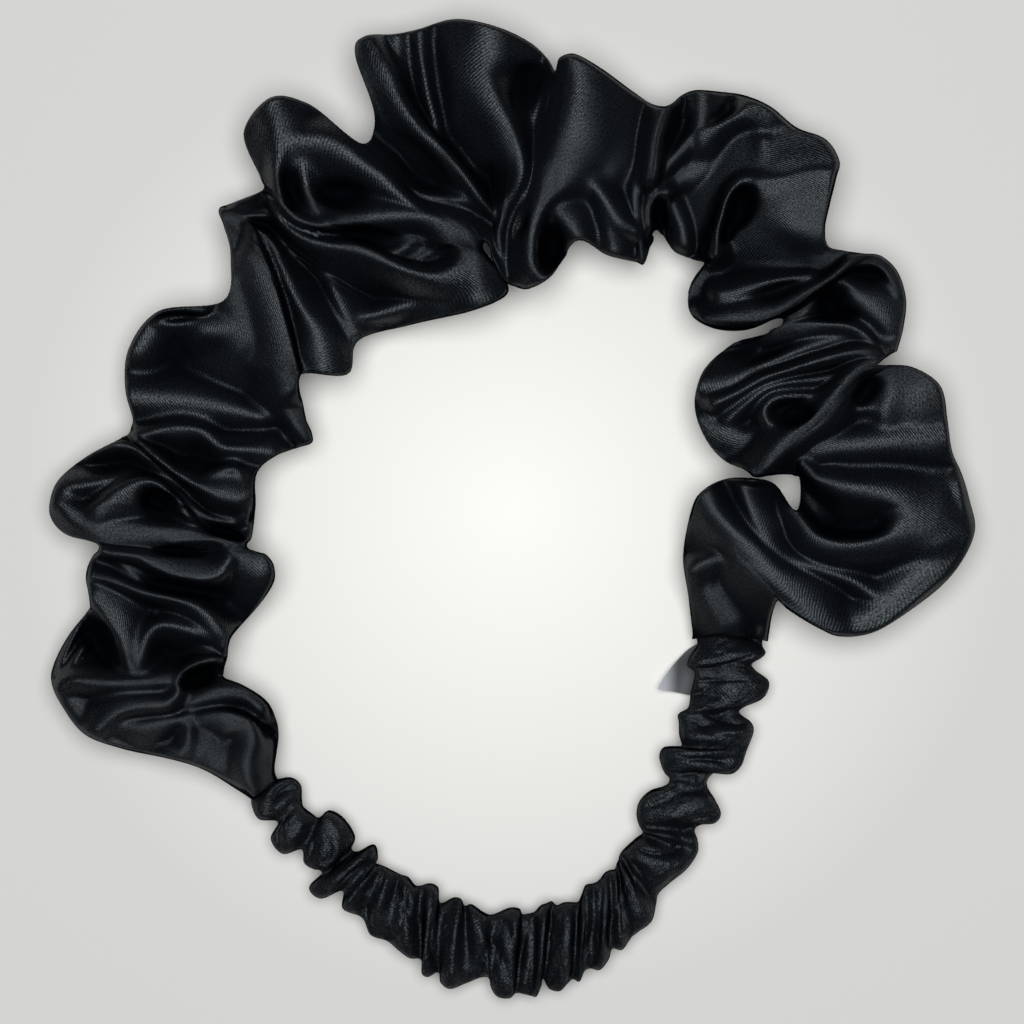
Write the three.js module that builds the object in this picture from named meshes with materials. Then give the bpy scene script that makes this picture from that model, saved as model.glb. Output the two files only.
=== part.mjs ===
// A ruffled satin headband, lying flat: a wide gathered tube of satin round the crown of the loop,
// a narrow shirred casing with its elastic along the nape, and a blank care label in one join.
// Millimetres. +X and +Y lie in the floor's plane, +Z is up, and the floor is z = 0.
// The origin is on the floor, under the middle of the loop.

import * as THREE from "three";

// Driving dimensions
const SATIN_WALL = 1;          // one layer of satin with its seam allowance
const MOST_WALL_SLOPE = 1.9;   // most that a steep fold thickens its wall, measured straight down
const RUFFLE_PUFF = 2.5;       // how far the upper layer stands above a fold's own line
const RUFFLE_ROUND = 0.75;     // how blunt the tube's two long edges are, above
const UNDER_ROUND = 0.5;       // and below, where the lower layer drops to the floor
const UNDER_REACH = 1.06;      // over 1, so that the lower layer lies flat along its middle
const RUFFLE_EDGE_WALL = 1.7;  // the wall at the two long edges, across the tube
const HIGH_FOLD = 15.5;        // a fold whose middle is higher lifts the lower layer off the floor
const UNDER_LIFT = 0.12;       // by this share of its extra height
const CASING_MIDDLE = 5.25;    // height of the casing's centre line, where its elastic runs
const CASING_MIDDLE_IN_MOUTH = 4;   // lower at its two ends, inside the ruffle's mouths
const ROWS_TO_RISE = 3;        // pleats over which it rises from there
const CASING_ROUND = 0.7;      // how blunt the casing's long edges are
const CASING_EDGE_WALL = 1.2;
const LEAST_HOLLOW = 0.9;      // half of the least clear height inside the casing, for the elastic
const ELASTIC_WIDTH = 3.6;
const ELASTIC_THICKNESS = 1;
const ELASTIC_FIRST_ROW = 4;   // the pleat at each end in which the elastic is sewn down
const ELASTIC_ROW_STEP = 2;    // it is straighter than the pleats, so it takes every second one
const LABEL_THICKNESS = 1;     // a folded woven tape, two layers together

// The ruffle, one row for each fold, ridge or valley, from its right join round to its left join.
// Each fold runs across the tube from the edge inside the loop, through its middle, to the outer
// edge. The heights are those of the fold's own line.
const FOLD_COLUMNS = [
  "innerX", "innerY", "innerZ",
  "middleX", "middleY", "middleZ",
  "outerX", "outerY", "outerZ",
];

const STEM_ABOVE_THE_RIGHT_JOIN = [
  [39, -28, 5.2, 47, -27.5, 5.5, 55, -28.5, 5.2],
  [38, -19, 4.5, 47, -18, 7, 56, -22.6, 4.5],
  [37, -10, 5, 46, -10.5, 8, 57.5, -19.7, 6],
  [39, 0, 6, 47, -7, 9, 60, -22, 6],
];

const LOWER_RIGHT_LOBE = [
  [41.5, 4, 7, 52, -8.5, 16, 66, -25.5, 8],
  [45.5, 6, 7, 55.5, -8.5, 11, 70.5, -27, 6],
  [50.5, 6.5, 8, 60, -9.5, 15, 78, -26, 8],
  [56, 5.5, 8, 64, -9, 11, 87, -20.5, 8],
  [60.5, 0, 10, 71, -6.8, 18, 95, -13, 10],
  [62, 0.8, 7, 73, -2.5, 8, 99, -5, 9],
];

const UPPER_RIGHT_LOBE = [
  [62, 6.6, 9, 74, 3.6, 17, 98, 2, 10],
  [61, 7.1, 9, 75, 9, 12, 96.5, 7, 8],
  [60, 7.4, 9, 75.5, 14, 18, 94.5, 12.5, 10],
  [59, 7.5, 9, 75, 18, 15, 93.5, 19, 9],
  [57.5, 7.5, 9, 73.5, 21.3, 16, 92, 26, 9],
  [55.5, 7.3, 9, 70.8, 22, 11, 86.5, 30, 9],
  [52.3, 7, 10, 66.3, 20.3, 20, 79, 30.7, 14],
];

const INNER_RIGHT_LOBE = [
  [50, 8.5, 6, 61.5, 21, 8, 79, 31.3, 10],
  [46, 10.5, 6, 58.5, 23, 14, 79.3, 31.7, 12],
  [43, 13.5, 5, 57, 24.8, 11, 79.6, 32, 10.5],
  [40.5, 18, 6, 57.2, 26.8, 15, 80, 32.3, 11.5],
  [39.5, 22, 5, 58, 28.7, 12, 80.4, 32.6, 10.5],
  [40, 26, 6, 58.8, 30.6, 16, 80.8, 32.9, 11],
  [42, 30.5, 5, 60.3, 33, 12, 81.3, 33.2, 10],
  [46.5, 34.5, 6, 62.5, 35.6, 15, 81.8, 33.5, 10],
  [53, 37, 6, 65.5, 38.5, 13, 82.3, 33.9, 9],
];

const SHOULDER_LOBES = [
  [57.4, 39.3, 5, 69, 41.2, 6, 82.8, 34.6, 7],
  [58.2, 40, 6, 73, 43.3, 11, 84, 39.5, 9],
  [58.3, 40.5, 7, 74, 46.2, 13, 84.4, 45, 9],
  [58, 41, 7, 73.3, 47.9, 10, 82.8, 50.5, 8],
  [56.6, 40.9, 8, 69.5, 48.4, 13, 79.5, 54, 10],
  [50.5, 38.7, 7, 64, 46.8, 18, 75, 54.9, 12],
  [43.5, 39.1, 6, 60, 48.3, 13, 71.3, 55.6, 9],
  [38.8, 42, 6, 57, 50.8, 17, 68, 56.8, 9],
  [38.3, 47, 6, 55, 55, 17, 67.3, 60.5, 9],
  [41.3, 52, 7, 55.5, 61, 18, 68.3, 65.8, 9],
];

const SHOULDER_PANEL = [
  [41.5, 52.7, 6, 50.3, 65.3, 8, 69.5, 71, 9],
  [41.3, 53.1, 7, 46.8, 69, 19, 70, 75, 10],
  [39.8, 53.5, 6, 44, 70.5, 13, 67, 79.5, 8],
  [37.5, 54.3, 6, 42, 72.8, 17, 61, 82, 9],
  [35, 55.5, 6, 39.9, 75, 14, 55.5, 86.3, 8],
  [33.8, 57, 7, 38.3, 76.5, 17, 50, 88.6, 10],
  [32.8, 58.5, 6, 36.7, 77, 13, 45, 89.4, 8],
  [31.8, 59.7, 7, 35, 77.6, 16, 40, 89.8, 9],
  [31, 60, 6, 33.4, 77.3, 11, 36.8, 88.9, 7],
  [30.3, 59.3, 7, 31.6, 77, 17, 34, 86.9, 9],
];

const TALL_PANEL = [
  [29.6, 56.5, 5, 29.6, 73, 8, 32, 86.5, 6],
  [28.3, 52.9, 5, 27, 71.5, 14, 29.3, 87.3, 8],
  [26.5, 53.3, 4, 24.3, 72.5, 8, 26, 89.5, 7],
  [20.5, 54.8, 6, 18.5, 74, 14, 20, 94, 9],
  [14, 57.8, 6, 12.5, 74.5, 18, 14.5, 97.3, 11],
  [8.5, 50.3, 4, 8, 72, 15, 12, 97.6, 11],
  [4, 47.7, 6, 5.2, 70.5, 17, 10.2, 96.6, 9],
  [1, 48, 5, 3.4, 71.5, 8, 9.2, 94, 6],
];

const TOP_FAN = [
  [-0.8, 49.5, 6, 2, 76, 12, 7.5, 96.5, 8],
  [-2.3, 52.3, 6, 0.7, 80, 9, 4, 99.9, 8],
  [-3.3, 55, 8, -1.7, 82, 18, -3.5, 103.5, 12],
  [-3.8, 56.6, 7, -8, 83, 9, -12.5, 105, 7],
  [-4.1, 57.6, 7, -13, 83.5, 14, -20, 102.9, 10],
  [-4.4, 58.4, 6, -16, 82.6, 10, -25, 101.9, 7],
  [-4.8, 59, 8, -18, 80.6, 19, -31.5, 101.3, 12],
  [-5.3, 59.4, 6, -20, 76.5, 9, -33.5, 97.5, 7],
  [-5.9, 59.6, 5, -20, 72, 5.5, -29.5, 84, 5],
];

const UPPER_LEFT_POUCH = [
  [-6.5, 59.5, 5, -22, 70.5, 11, -31.5, 78.6, 7],
  [-6.9, 59.1, 7, -29, 72.8, 18, -44, 87, 11],
  [-7.1, 58.6, 8, -34.5, 70.5, 9, -52, 88, 9],
  [-7.1, 58, 8, -39, 66.5, 11, -57.3, 81, 9],
  [-6.8, 57.3, 8, -36, 62, 19, -54, 71.5, 9],
];

const LONG_FLAP = [
  [-6.2, 56, 8, -32.5, 59, 7, -53.2, 69, 7],
  [-4.4, 51.5, 8, -31, 55.5, 18, -54.5, 67.8, 9],
  [-2.2, 46, 6, -31, 52, 14, -57, 66.8, 7],
  [-8, 43.1, 5, -34, 49.5, 10, -59, 66, 6],
  [-22, 39.7, 5, -38.5, 48.5, 9, -61, 65.2, 6],
  [-33, 36.2, 5, -43, 48, 6, -62.5, 64.6, 6],
  [-35.3, 29.2, 6, -45.7, 46, 13, -62.8, 63.3, 9],
  [-44, 29.3, 4, -49, 45.5, 7, -61.8, 60.5, 8],
];

const LEFT_PANEL = [
  [-45.8, 28, 7, -52, 44.5, 18, -60.5, 54, 11],
  [-45.7, 25.5, 7, -57, 39.5, 18, -62, 45, 9],
  [-45, 22.5, 7, -61, 34.5, 17, -76, 42.3, 8],
  [-44.3, 19.3, 7, -62, 29.5, 15, -82, 34.5, 8],
  [-43.3, 16.8, 7, -63, 24, 17, -82.8, 26, 9],
  [-43.3, 14.3, 5, -64, 19, 12, -81.3, 19.5, 7],
  [-46, 13.3, 6, -65, 15.3, 16, -81.6, 17.8, 8],
  [-51, 11.3, 5, -66, 11.8, 11, -82, 16.6, 7],
  [-55, 7.5, 7, -66.8, 8.3, 16, -82.6, 15.8, 9],
  [-55.3, 0.5, 6, -68.6, 5.4, 12, -83.4, 15.4, 7],
];

const UPPER_LEFT_FAN = [
  [-56, -5.5, 4, -71.8, 5.6, 8, -84.8, 14.6, 6],
  [-56.8, -7, 5, -75, 5.4, 13, -91, 11.3, 8],
  [-57.1, -7.5, 5, -77.5, 4.2, 9, -97, 6.3, 7],
  [-57.2, -7.9, 6, -78.6, 2, 15, -99, 1.5, 9],
  [-56.9, -8.5, 6, -78, -0.8, 8, -98.6, -2.3, 7],
  [-55.8, -9, 7, -76.5, -4.2, 15, -95.3, -5.6, 8],
  [-54.3, -9.4, 8, -74.5, -7, 16, -91, -6.8, 7],
  [-52.7, -10.2, 6, -72.3, -9.6, 6, -89, -7.7, 5],
  [-51.4, -12.3, 8, -71.3, -12.4, 14, -88.8, -8.8, 8],
  [-51.5, -15.8, 5, -71.5, -15, 7, -90, -10.3, 6],
  [-54, -19.8, 6, -72.5, -17.3, 11, -91, -12.6, 7],
  [-60, -27, 6, -74.3, -19.8, 15, -91.4, -15.3, 8],
  [-61, -29.5, 5, -76, -22.8, 11, -91, -18, 7],
  [-61.2, -31, 7, -78, -26.3, 15, -90.7, -20.6, 9],
  [-61.4, -32.2, 5, -80, -30, 6, -91.4, -22.4, 5],
];

const LOWER_LEFT_LOBE = [
  [-61.8, -33.6, 6, -80, -33.3, 9, -95.3, -27.5, 6],
  [-62, -35, 7, -77.5, -35.8, 8, -98, -33, 6],
  [-61.8, -36.4, 9, -75.5, -38, 15, -98.5, -37.5, 8],
  [-58, -38, 7, -74.5, -40.8, 11, -96.2, -42.5, 7],
  [-53, -41.3, 8, -73, -43.3, 15, -91.5, -48.3, 7],
  [-51, -45, 7, -70, -46.3, 11, -84, -51.3, 6],
  [-50.3, -48.5, 6, -65, -48.8, 12, -74, -53.7, 6],
  [-50.8, -53, 5, -58, -53, 10, -66, -56.3, 5.5],
  [-51, -56.5, 5, -54.8, -57.5, 7, -59, -60.8, 5.2],
  [-49.8, -59, 5.2, -52.8, -61, 5.5, -55.8, -63.6, 5.2],
];

const FOLDS = [
  ...STEM_ABOVE_THE_RIGHT_JOIN,
  ...LOWER_RIGHT_LOBE,
  ...UPPER_RIGHT_LOBE,
  ...INNER_RIGHT_LOBE,
  ...SHOULDER_LOBES,
  ...SHOULDER_PANEL,
  ...TALL_PANEL,
  ...TOP_FAN,
  ...UPPER_LEFT_POUCH,
  ...LONG_FLAP,
  ...LEFT_PANEL,
  ...UPPER_LEFT_FAN,
  ...LOWER_LEFT_LOBE,
];

// The shirred casing, one row for each puff or crease, from the left join round to the right join:
// its edge inside the loop, its outer edge, and half of its height there.
const PLEAT_COLUMNS = ["innerX", "innerY", "outerX", "outerY", "half"];

const CASING_AT_THE_LEFT = [
  [-52.5, -58.8, -54.4, -60.4, 2],
  [-51, -60.9, -53.5, -63, 2],
  [-47.5, -60, -54.7, -65.5, 3.4],
  [-46.3, -60.3, -53, -67.6, 4.6],
  [-45.4, -62.9, -50.8, -68.3, 3.3],
  [-45, -64.3, -51.8, -71, 4.2],
  [-43.3, -65.7, -49, -74, 4.6],
  [-41.7, -66.6, -45.3, -73.3, 3],
  [-39.5, -65.3, -44.8, -76, 4.6],
  [-36.5, -67, -43, -77.3, 5],
  [-34.1, -71, -41.3, -77.8, 4.3],
  [-34.8, -73.3, -41.2, -78.8, 3],
  [-33.5, -74, -43.4, -81.5, 4.2],
  [-30, -72.7, -41, -83.8, 5.2],
  [-29.1, -75.3, -36.3, -82.4, 3.4],
  [-29.2, -76.8, -36.2, -86, 5.2],
  [-28.2, -77.2, -32.2, -88, 3],
];

const CASING_AT_THE_NAPE = [
  [-26.5, -78, -30.5, -91.5, 4.6],
  [-24, -79.3, -27, -93, 3.2],
  [-22.5, -79.8, -24.5, -95, 5],
  [-21, -81.4, -22.3, -96.5, 4.6],
  [-19.8, -81.6, -20, -96.8, 2.8],
  [-17.5, -81.2, -19.5, -99.8, 5.2],
  [-16, -82, -18.3, -100.5, 4.6],
  [-15.3, -85.3, -16, -99.6, 2.8],
  [-12.5, -84.2, -15.3, -101.8, 4.2],
  [-11, -84.5, -13.5, -103, 5.4],
  [-10, -86, -10, -102, 3],
  [-8.5, -85.7, -7, -100.9, 4.6],
  [-6, -87.3, -5.2, -101, 4.8],
  [-4.2, -87.8, -4.4, -103, 3.2],
  [-0.5, -86.3, -2.7, -104.9, 4.8],
  [1.5, -86.5, -0.3, -105, 5.4],
  [2.3, -87.6, 1, -104, 2.8],
  [3.6, -87.5, 2.8, -104.2, 3.6],
  [4.8, -87.2, 4.3, -104.6, 3],
  [6, -85.9, 5.3, -104.6, 4.6],
  [7.3, -85.4, 6.3, -102.5, 5.2],
  [8.5, -85, 7, -101, 2.8],
  [9.5, -85.8, 8.2, -103, 3.8],
  [11, -85.2, 10.5, -103.5, 5],
  [12.5, -85.1, 12, -102, 4.8],
  [14, -85, 13.2, -101, 2.8],
  [14.8, -83.5, 14.7, -101.5, 4.6],
  [15.8, -81.5, 16, -99.3, 4.8],
  [17.3, -81.2, 17.3, -98.8, 3.4],
  [18.5, -80.5, 19.2, -99, 5],
  [19.8, -78.8, 21.2, -96.5, 4.6],
  [20.8, -78.3, 22, -94.5, 3.4],
];

const CASING_AT_THE_RIGHT = [
  [21.8, -78.1, 24, -94.7, 4.8],
  [22.3, -77.6, 26, -92, 3.4],
  [22.6, -76.8, 27.5, -90.7, 4.6],
  [23, -76, 30, -88.6, 5],
  [23.4, -75.2, 31, -85, 3],
  [24, -74.2, 31.6, -83, 4],
  [25.5, -72.7, 34, -80.5, 5.2],
  [27, -71.3, 37.5, -77.5, 5.4],
  [28.3, -70.2, 39.8, -74, 3.4],
  [28.2, -69.3, 39.8, -71.8, 4.6],
  [27.8, -68.3, 39.2, -69.5, 3],
  [27.4, -66.8, 40.5, -68.4, 3.8],
  [27.4, -65, 43.5, -67.8, 5],
  [28, -63, 44.7, -66, 5.4],
  [30, -61, 43.5, -63, 5],
  [33.6, -59.3, 42.2, -60.5, 3.2],
  [34, -58, 42, -58.9, 3.4],
  [33.3, -57, 43.5, -57.1, 3],
  [32.5, -55, 47, -57, 4.2],
  [32.2, -53, 49, -55.3, 5.2],
  [33.2, -51.4, 50, -52.5, 4.8],
  [36.6, -51, 50.6, -51, 3.6],
  [36.3, -48.5, 51.7, -48, 5.2],
  [36.3, -46, 51.2, -46.2, 4],
  [36.2, -44.2, 48.9, -44.1, 3],
  [38, -43, 50, -42.8, 3.6],
  [38.6, -41.5, 53.5, -41, 3.6],
];

const CASING_OVER_THE_LABEL = [
  [38.8, -39.6, 54.8, -39.3, 3.6],
  [39.2, -37.7, 55, -37.2, 3.7],
  [39.5, -35, 52.3, -34.8, 3],
  [38.3, -34, 51.6, -33.5, 3.4],
  [38.2, -33, 53.5, -32.2, 3.6],
  [39, -31, 54.5, -31, 3.5],
  [40.5, -29.6, 53.5, -29.6, 2.6],
  [41.6, -28.6, 52.4, -28.8, 2.3],
  [41.8, -25.5, 52.2, -25.8, 2.3],
];

const PLEATS = [
  ...CASING_AT_THE_LEFT,
  ...CASING_AT_THE_NAPE,
  ...CASING_AT_THE_RIGHT,
  ...CASING_OVER_THE_LABEL,
];

// The care label, one row for each line across it, from the seam down to its fold: its free edge
// inside the loop, where it curls up, and its other edge, flat under the casing.
const LABEL_COLUMNS = ["freeX", "freeY", "freeZ", "flatX", "flatY", "flatZ"];
const LABEL_LINES = [
  [40.4, -29.2, 0.5, 51.5, -29.8, 0.5],
  [38.2, -30.6, 0.8, 50.8, -32.4, 0.5],
  [35.6, -33.2, 1.6, 49.4, -35.6, 0.5],
  [33.4, -36, 2.3, 47.8, -38.8, 0.5],
  [31.6, -39, 2.8, 46.2, -42, 0.5],
];

// Shape helpers

function rowsOf(table, columns) {
  return table.map((row) => Object.fromEntries(columns.map((name, i) => [name, row[i]])));
}

function ring(upper, lower) {
  // One closed section: out along the upper layer and back along the lower one, which share
  // their two end points.
  return [...upper, ...lower.slice(1, -1).reverse()];
}

function addBand(triangles, first, second, flipped) {
  // The strip of triangles between two rings of vertex numbers.
  const count = first.length;
  for (let i = 0; i < count; i++) {
    const next = (i + 1) % count;
    const near = [first[i], second[i], second[next]];
    const far = [first[i], second[next], first[next]];
    for (const triangle of [near, far]) {
      triangles.push(...(flipped ? triangle.reverse() : triangle));
    }
  }
}

function bodyOf(points, triangles) {
  // A closed body with its faces pointing out, whichever way its rings were listed.
  const geometry = new THREE.BufferGeometry();
  const numbers = points.flatMap((point) => point.toArray());
  geometry.setAttribute("position", new THREE.Float32BufferAttribute(numbers, 3));
  geometry.setIndex(triangles);
  let volume = 0;
  for (let i = 0; i < triangles.length; i += 3) {
    const [a, b, c] = triangles.slice(i, i + 3).map((corner) => points[corner]);
    volume += a.dot(b.clone().cross(c)) / 6;
  }
  if (volume < 0) geometry.setIndex(triangles.reverse());
  return geometry;
}

function numbered(rings, points) {
  return rings.map((section) => section.map((point) => points.push(point) - 1));
}

function hollowTube(outerRings, innerRings) {
  // A tube with a wall and two open mouths.
  const points = [];
  const triangles = [];
  const outer = numbered(outerRings, points);
  const inner = numbered(innerRings, points);
  const last = outer.length - 1;
  for (let i = 0; i < last; i++) {
    addBand(triangles, outer[i], outer[i + 1], false);
    addBand(triangles, inner[i], inner[i + 1], true);
  }
  addBand(triangles, inner[0], outer[0], false);
  addBand(triangles, outer[last], inner[last], false);
  return bodyOf(points, triangles);
}

function solidBand(rings) {
  // A solid strip with its two ends closed by fans.
  const points = [];
  const triangles = [];
  const sections = numbered(rings, points);
  for (let i = 0; i < sections.length - 1; i++) addBand(triangles, sections[i], sections[i + 1], false);
  const [start, end] = [sections[0], sections[sections.length - 1]];
  for (let i = 1; i < start.length - 1; i++) {
    triangles.push(start[0], start[i], start[i + 1]);
    triangles.push(end[0], end[i + 1], end[i]);
  }
  return bodyOf(points, triangles);
}

function steepness(middles, i) {
  // How much longer a wall is straight down than square to the folds on either side of it.
  const beside = [middles[i - 1], middles[i + 1]].filter(Boolean);
  const slants = beside.map((other) => {
    const run = Math.hypot(other.x - middles[i].x, other.y - middles[i].y);
    return Math.hypot(1, (other.z - middles[i].z) / run);
  });
  const mean = slants.reduce((sum, slant) => sum + slant, 0) / slants.length;
  return Math.min(mean, MOST_WALL_SLOPE);
}

function acrossSteps(count) {
  // Angles from one long edge over to the other, and the share of the width that each reaches.
  return Array.from({ length: count + 1 }, (_, i) => {
    const angle = (Math.PI * i) / count;
    return { share: (1 - Math.cos(angle)) / 2, bulge: Math.sin(angle) };
  });
}

// Ruffle

function foldLine(fold) {
  // The curve through a fold's inner end, middle and outer end.
  const inner = new THREE.Vector3(fold.innerX, fold.innerY, fold.innerZ);
  const middle = new THREE.Vector3(fold.middleX, fold.middleY, fold.middleZ);
  const outer = new THREE.Vector3(fold.outerX, fold.outerY, fold.outerZ);
  const pull = middle.clone().multiplyScalar(2).addScaledVector(inner, -0.5).addScaledVector(outer, -0.5);
  return new THREE.QuadraticBezierCurve3(inner, pull, outer);
}

function ruffleLayers(fold, line, share) {
  // The outer face of both layers at a share of the way across a fold.
  const bulge = Math.sqrt(Math.max(4 * share * (1 - share), 0));
  const point = line.getPoint(share);
  const lift = Math.max(fold.middleZ - HIGH_FOLD, 0) * UNDER_LIFT;
  const upper = point.z + RUFFLE_PUFF * bulge ** RUFFLE_ROUND;
  const dropped = Math.min(UNDER_REACH * bulge ** UNDER_ROUND, 1);
  const lower = THREE.MathUtils.lerp(point.z, lift, dropped);
  return { point, upper, lower };
}

function ruffleRings(folds, steps) {
  const lines = folds.map(foldLine);
  const middles = lines.map((line) => line.getPoint(0.5));
  const outer = [];
  const inner = [];
  folds.forEach((fold, i) => {
    const line = lines[i];
    const wall = SATIN_WALL * steepness(middles, i);
    const inset = RUFFLE_EDGE_WALL / line.getLength();
    const at = (point, z) => new THREE.Vector3(point.x, point.y, z);
    const outside = steps.map(({ share }) => ruffleLayers(fold, line, share));
    outer.push(ring(
      outside.map(({ point, upper }) => at(point, upper)),
      outside.map(({ point, lower }) => at(point, lower)),
    ));
    const inside = steps.map(({ share, bulge }) => {
      const { point, upper, lower } = ruffleLayers(fold, line, inset + (1 - 2 * inset) * share);
      const ceiling = upper - wall;
      const ground = lower + SATIN_WALL;
      const centre = (upper + lower) / 2;
      const open = Math.sqrt(bulge);
      return {
        point,
        upper: THREE.MathUtils.lerp(centre, ceiling, open),
        lower: THREE.MathUtils.lerp(centre, ground, open),
      };
    });
    inner.push(ring(
      inside.map(({ point, upper }) => at(point, upper)),
      inside.map(({ point, lower }) => at(point, lower)),
    ));
  });
  return { outer, inner };
}

function ruffleGeometry() {
  const { outer, inner } = ruffleRings(rowsOf(FOLDS, FOLD_COLUMNS), acrossSteps(7));
  return hollowTube(outer, inner);
}

// Casing

function casingMiddle(pleats, i) {
  const fromEnd = Math.min(i, pleats.length - 1 - i);
  const risen = THREE.MathUtils.clamp((fromEnd - 1) / ROWS_TO_RISE, 0, 1);
  return THREE.MathUtils.lerp(CASING_MIDDLE_IN_MOUTH, CASING_MIDDLE, risen);
}

function casingRings(pleats, steps) {
  const outer = [];
  const inner = [];
  const tops = pleats.map((pleat) => new THREE.Vector3(
    (pleat.innerX + pleat.outerX) / 2, (pleat.innerY + pleat.outerY) / 2, pleat.half,
  ));
  pleats.forEach((pleat, i) => {
    const height = casingMiddle(pleats, i);
    const from = new THREE.Vector3(pleat.innerX, pleat.innerY, height);
    const to = new THREE.Vector3(pleat.outerX, pleat.outerY, height);
    const inset = CASING_EDGE_WALL / from.distanceTo(to);
    const hollow = Math.max(pleat.half - SATIN_WALL * steepness(tops, i), LEAST_HOLLOW);
    const layer = (edge, half, side) => steps.map(({ share, bulge }) => {
      const point = from.clone().lerp(to, edge + (1 - 2 * edge) * share);
      point.z += side * half * bulge ** CASING_ROUND;
      return point;
    });
    outer.push(ring(layer(0, pleat.half, 1), layer(0, pleat.half, -1)));
    inner.push(ring(layer(inset, hollow, 1), layer(inset, hollow, -1)));
  });
  return { outer, inner };
}

function casingGeometry() {
  const { outer, inner } = casingRings(rowsOf(PLEATS, PLEAT_COLUMNS), acrossSteps(5));
  return hollowTube(outer, inner);
}

// Elastic: a flat band along the casing's centre line, from one seam to the other

function elasticGeometry() {
  const pleats = rowsOf(PLEATS, PLEAT_COLUMNS);
  const ends = pleats.map((pleat, i) => [
    new THREE.Vector3(pleat.innerX, pleat.innerY, casingMiddle(pleats, i)),
    new THREE.Vector3(pleat.outerX, pleat.outerY, casingMiddle(pleats, i)),
  ]);
  const middles = ends.map(([from, to]) => from.clone().lerp(to, 0.5));
  const up = new THREE.Vector3(0, 0, ELASTIC_THICKNESS / 2);
  const rings = [];
  for (let i = ELASTIC_FIRST_ROW; i < pleats.length - ELASTIC_FIRST_ROW; i += ELASTIC_ROW_STEP) {
    const centre = middles[i - 1].clone().add(middles[i + 1]).addScaledVector(middles[i], 6).divideScalar(8);
    const [from, to] = ends[i];
    const half = to.clone().sub(from).setLength(ELASTIC_WIDTH / 2);
    const [near, far] = [centre.clone().sub(half), centre.clone().add(half)];
    rings.push([near.clone().add(up), far.clone().add(up), far.clone().sub(up), near.clone().sub(up)]);
  }
  return solidBand(rings);
}

// Care label

function labelGeometry() {
  const rings = rowsOf(LABEL_LINES, LABEL_COLUMNS).map((line) => {
    const free = new THREE.Vector3(line.freeX, line.freeY, line.freeZ);
    const flat = new THREE.Vector3(line.flatX, line.flatY, line.flatZ);
    const middle = free.clone().lerp(flat, 0.35).setZ(line.flatZ);
    const across = [free, middle, flat];
    const up = new THREE.Vector3(0, 0, LABEL_THICKNESS / 2);
    const above = across.map((point) => point.clone().add(up));
    const below = across.map((point) => point.clone().sub(up));
    return [...above, ...below.reverse()];
  });
  return solidBand(rings);
}

// Materials and assembly

function cloth(name, colour, roughness) {
  return new THREE.MeshStandardMaterial({ name, color: colour, roughness, metalness: 0 });
}

function piece(name, geometry, material) {
  const mesh = new THREE.Mesh(geometry, material);
  mesh.name = name;
  return mesh;
}

const group = new THREE.Group();
group.add(piece("ruffle", ruffleGeometry(), cloth("black satin", 0x0b0e12, 0.38)));
group.add(piece("elastic_casing", casingGeometry(), cloth("black satin", 0x0b0e12, 0.38)));
group.add(piece("elastic_band", elasticGeometry(), cloth("black elastic", 0x101010, 0.8)));
group.add(piece("care_label", labelGeometry(), cloth("white label tape", 0xd6dae0, 0.6)));

export default group;
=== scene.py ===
import math

import bpy
import numpy as np
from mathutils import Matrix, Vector


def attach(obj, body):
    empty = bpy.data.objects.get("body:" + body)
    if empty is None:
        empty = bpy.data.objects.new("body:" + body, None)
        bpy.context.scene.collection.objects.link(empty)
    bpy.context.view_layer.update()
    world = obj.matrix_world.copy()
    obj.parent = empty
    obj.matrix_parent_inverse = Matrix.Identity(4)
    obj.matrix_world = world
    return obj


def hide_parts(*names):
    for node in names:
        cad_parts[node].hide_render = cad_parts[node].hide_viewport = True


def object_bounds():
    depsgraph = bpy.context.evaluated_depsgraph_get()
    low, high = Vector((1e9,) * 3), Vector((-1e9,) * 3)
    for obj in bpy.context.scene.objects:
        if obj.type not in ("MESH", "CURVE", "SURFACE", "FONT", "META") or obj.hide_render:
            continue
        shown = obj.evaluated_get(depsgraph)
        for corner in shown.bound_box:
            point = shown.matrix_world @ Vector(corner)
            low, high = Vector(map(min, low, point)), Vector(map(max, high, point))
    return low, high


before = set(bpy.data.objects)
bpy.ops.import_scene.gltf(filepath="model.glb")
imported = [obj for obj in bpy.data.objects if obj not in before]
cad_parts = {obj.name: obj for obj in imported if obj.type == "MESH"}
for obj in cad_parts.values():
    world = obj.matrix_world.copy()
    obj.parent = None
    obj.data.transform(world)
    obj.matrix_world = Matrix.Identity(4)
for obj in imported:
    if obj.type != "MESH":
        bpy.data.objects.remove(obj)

cad_low, cad_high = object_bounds()

# A ruffled satin headband, lying flat and seen from straight above.
# The tables and all the shaping are in millimetres, in the part's own frame.
# The camera, the lights, the floor and the materials are in metres.

MM = 0.001

# Camera, in metres
CAMERA_ABOVE = 0.6727       # its height over the folds' edges
EDGE_HEIGHT = 0.008
FRAME_WIDTH = 0.22016       # what the picture spans at the height of the folds' edges
PICTURE_CENTRE_Y = -0.000645

# The ruffle, one row for each fold, ridge or valley: its inner end, middle and outer end, x, y, z.
STEM_ABOVE_THE_RIGHT_JOIN = [
    (39, -28, 5.2, 47, -27.5, 5.5, 55, -28.5, 5.2),
    (38, -19, 4.5, 47, -18, 7, 56, -22.6, 4.5),
    (37, -10, 5, 46, -10.5, 8, 57.5, -19.7, 6),
    (39, 0, 6, 47, -7, 9, 60, -22, 6),
]

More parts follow.
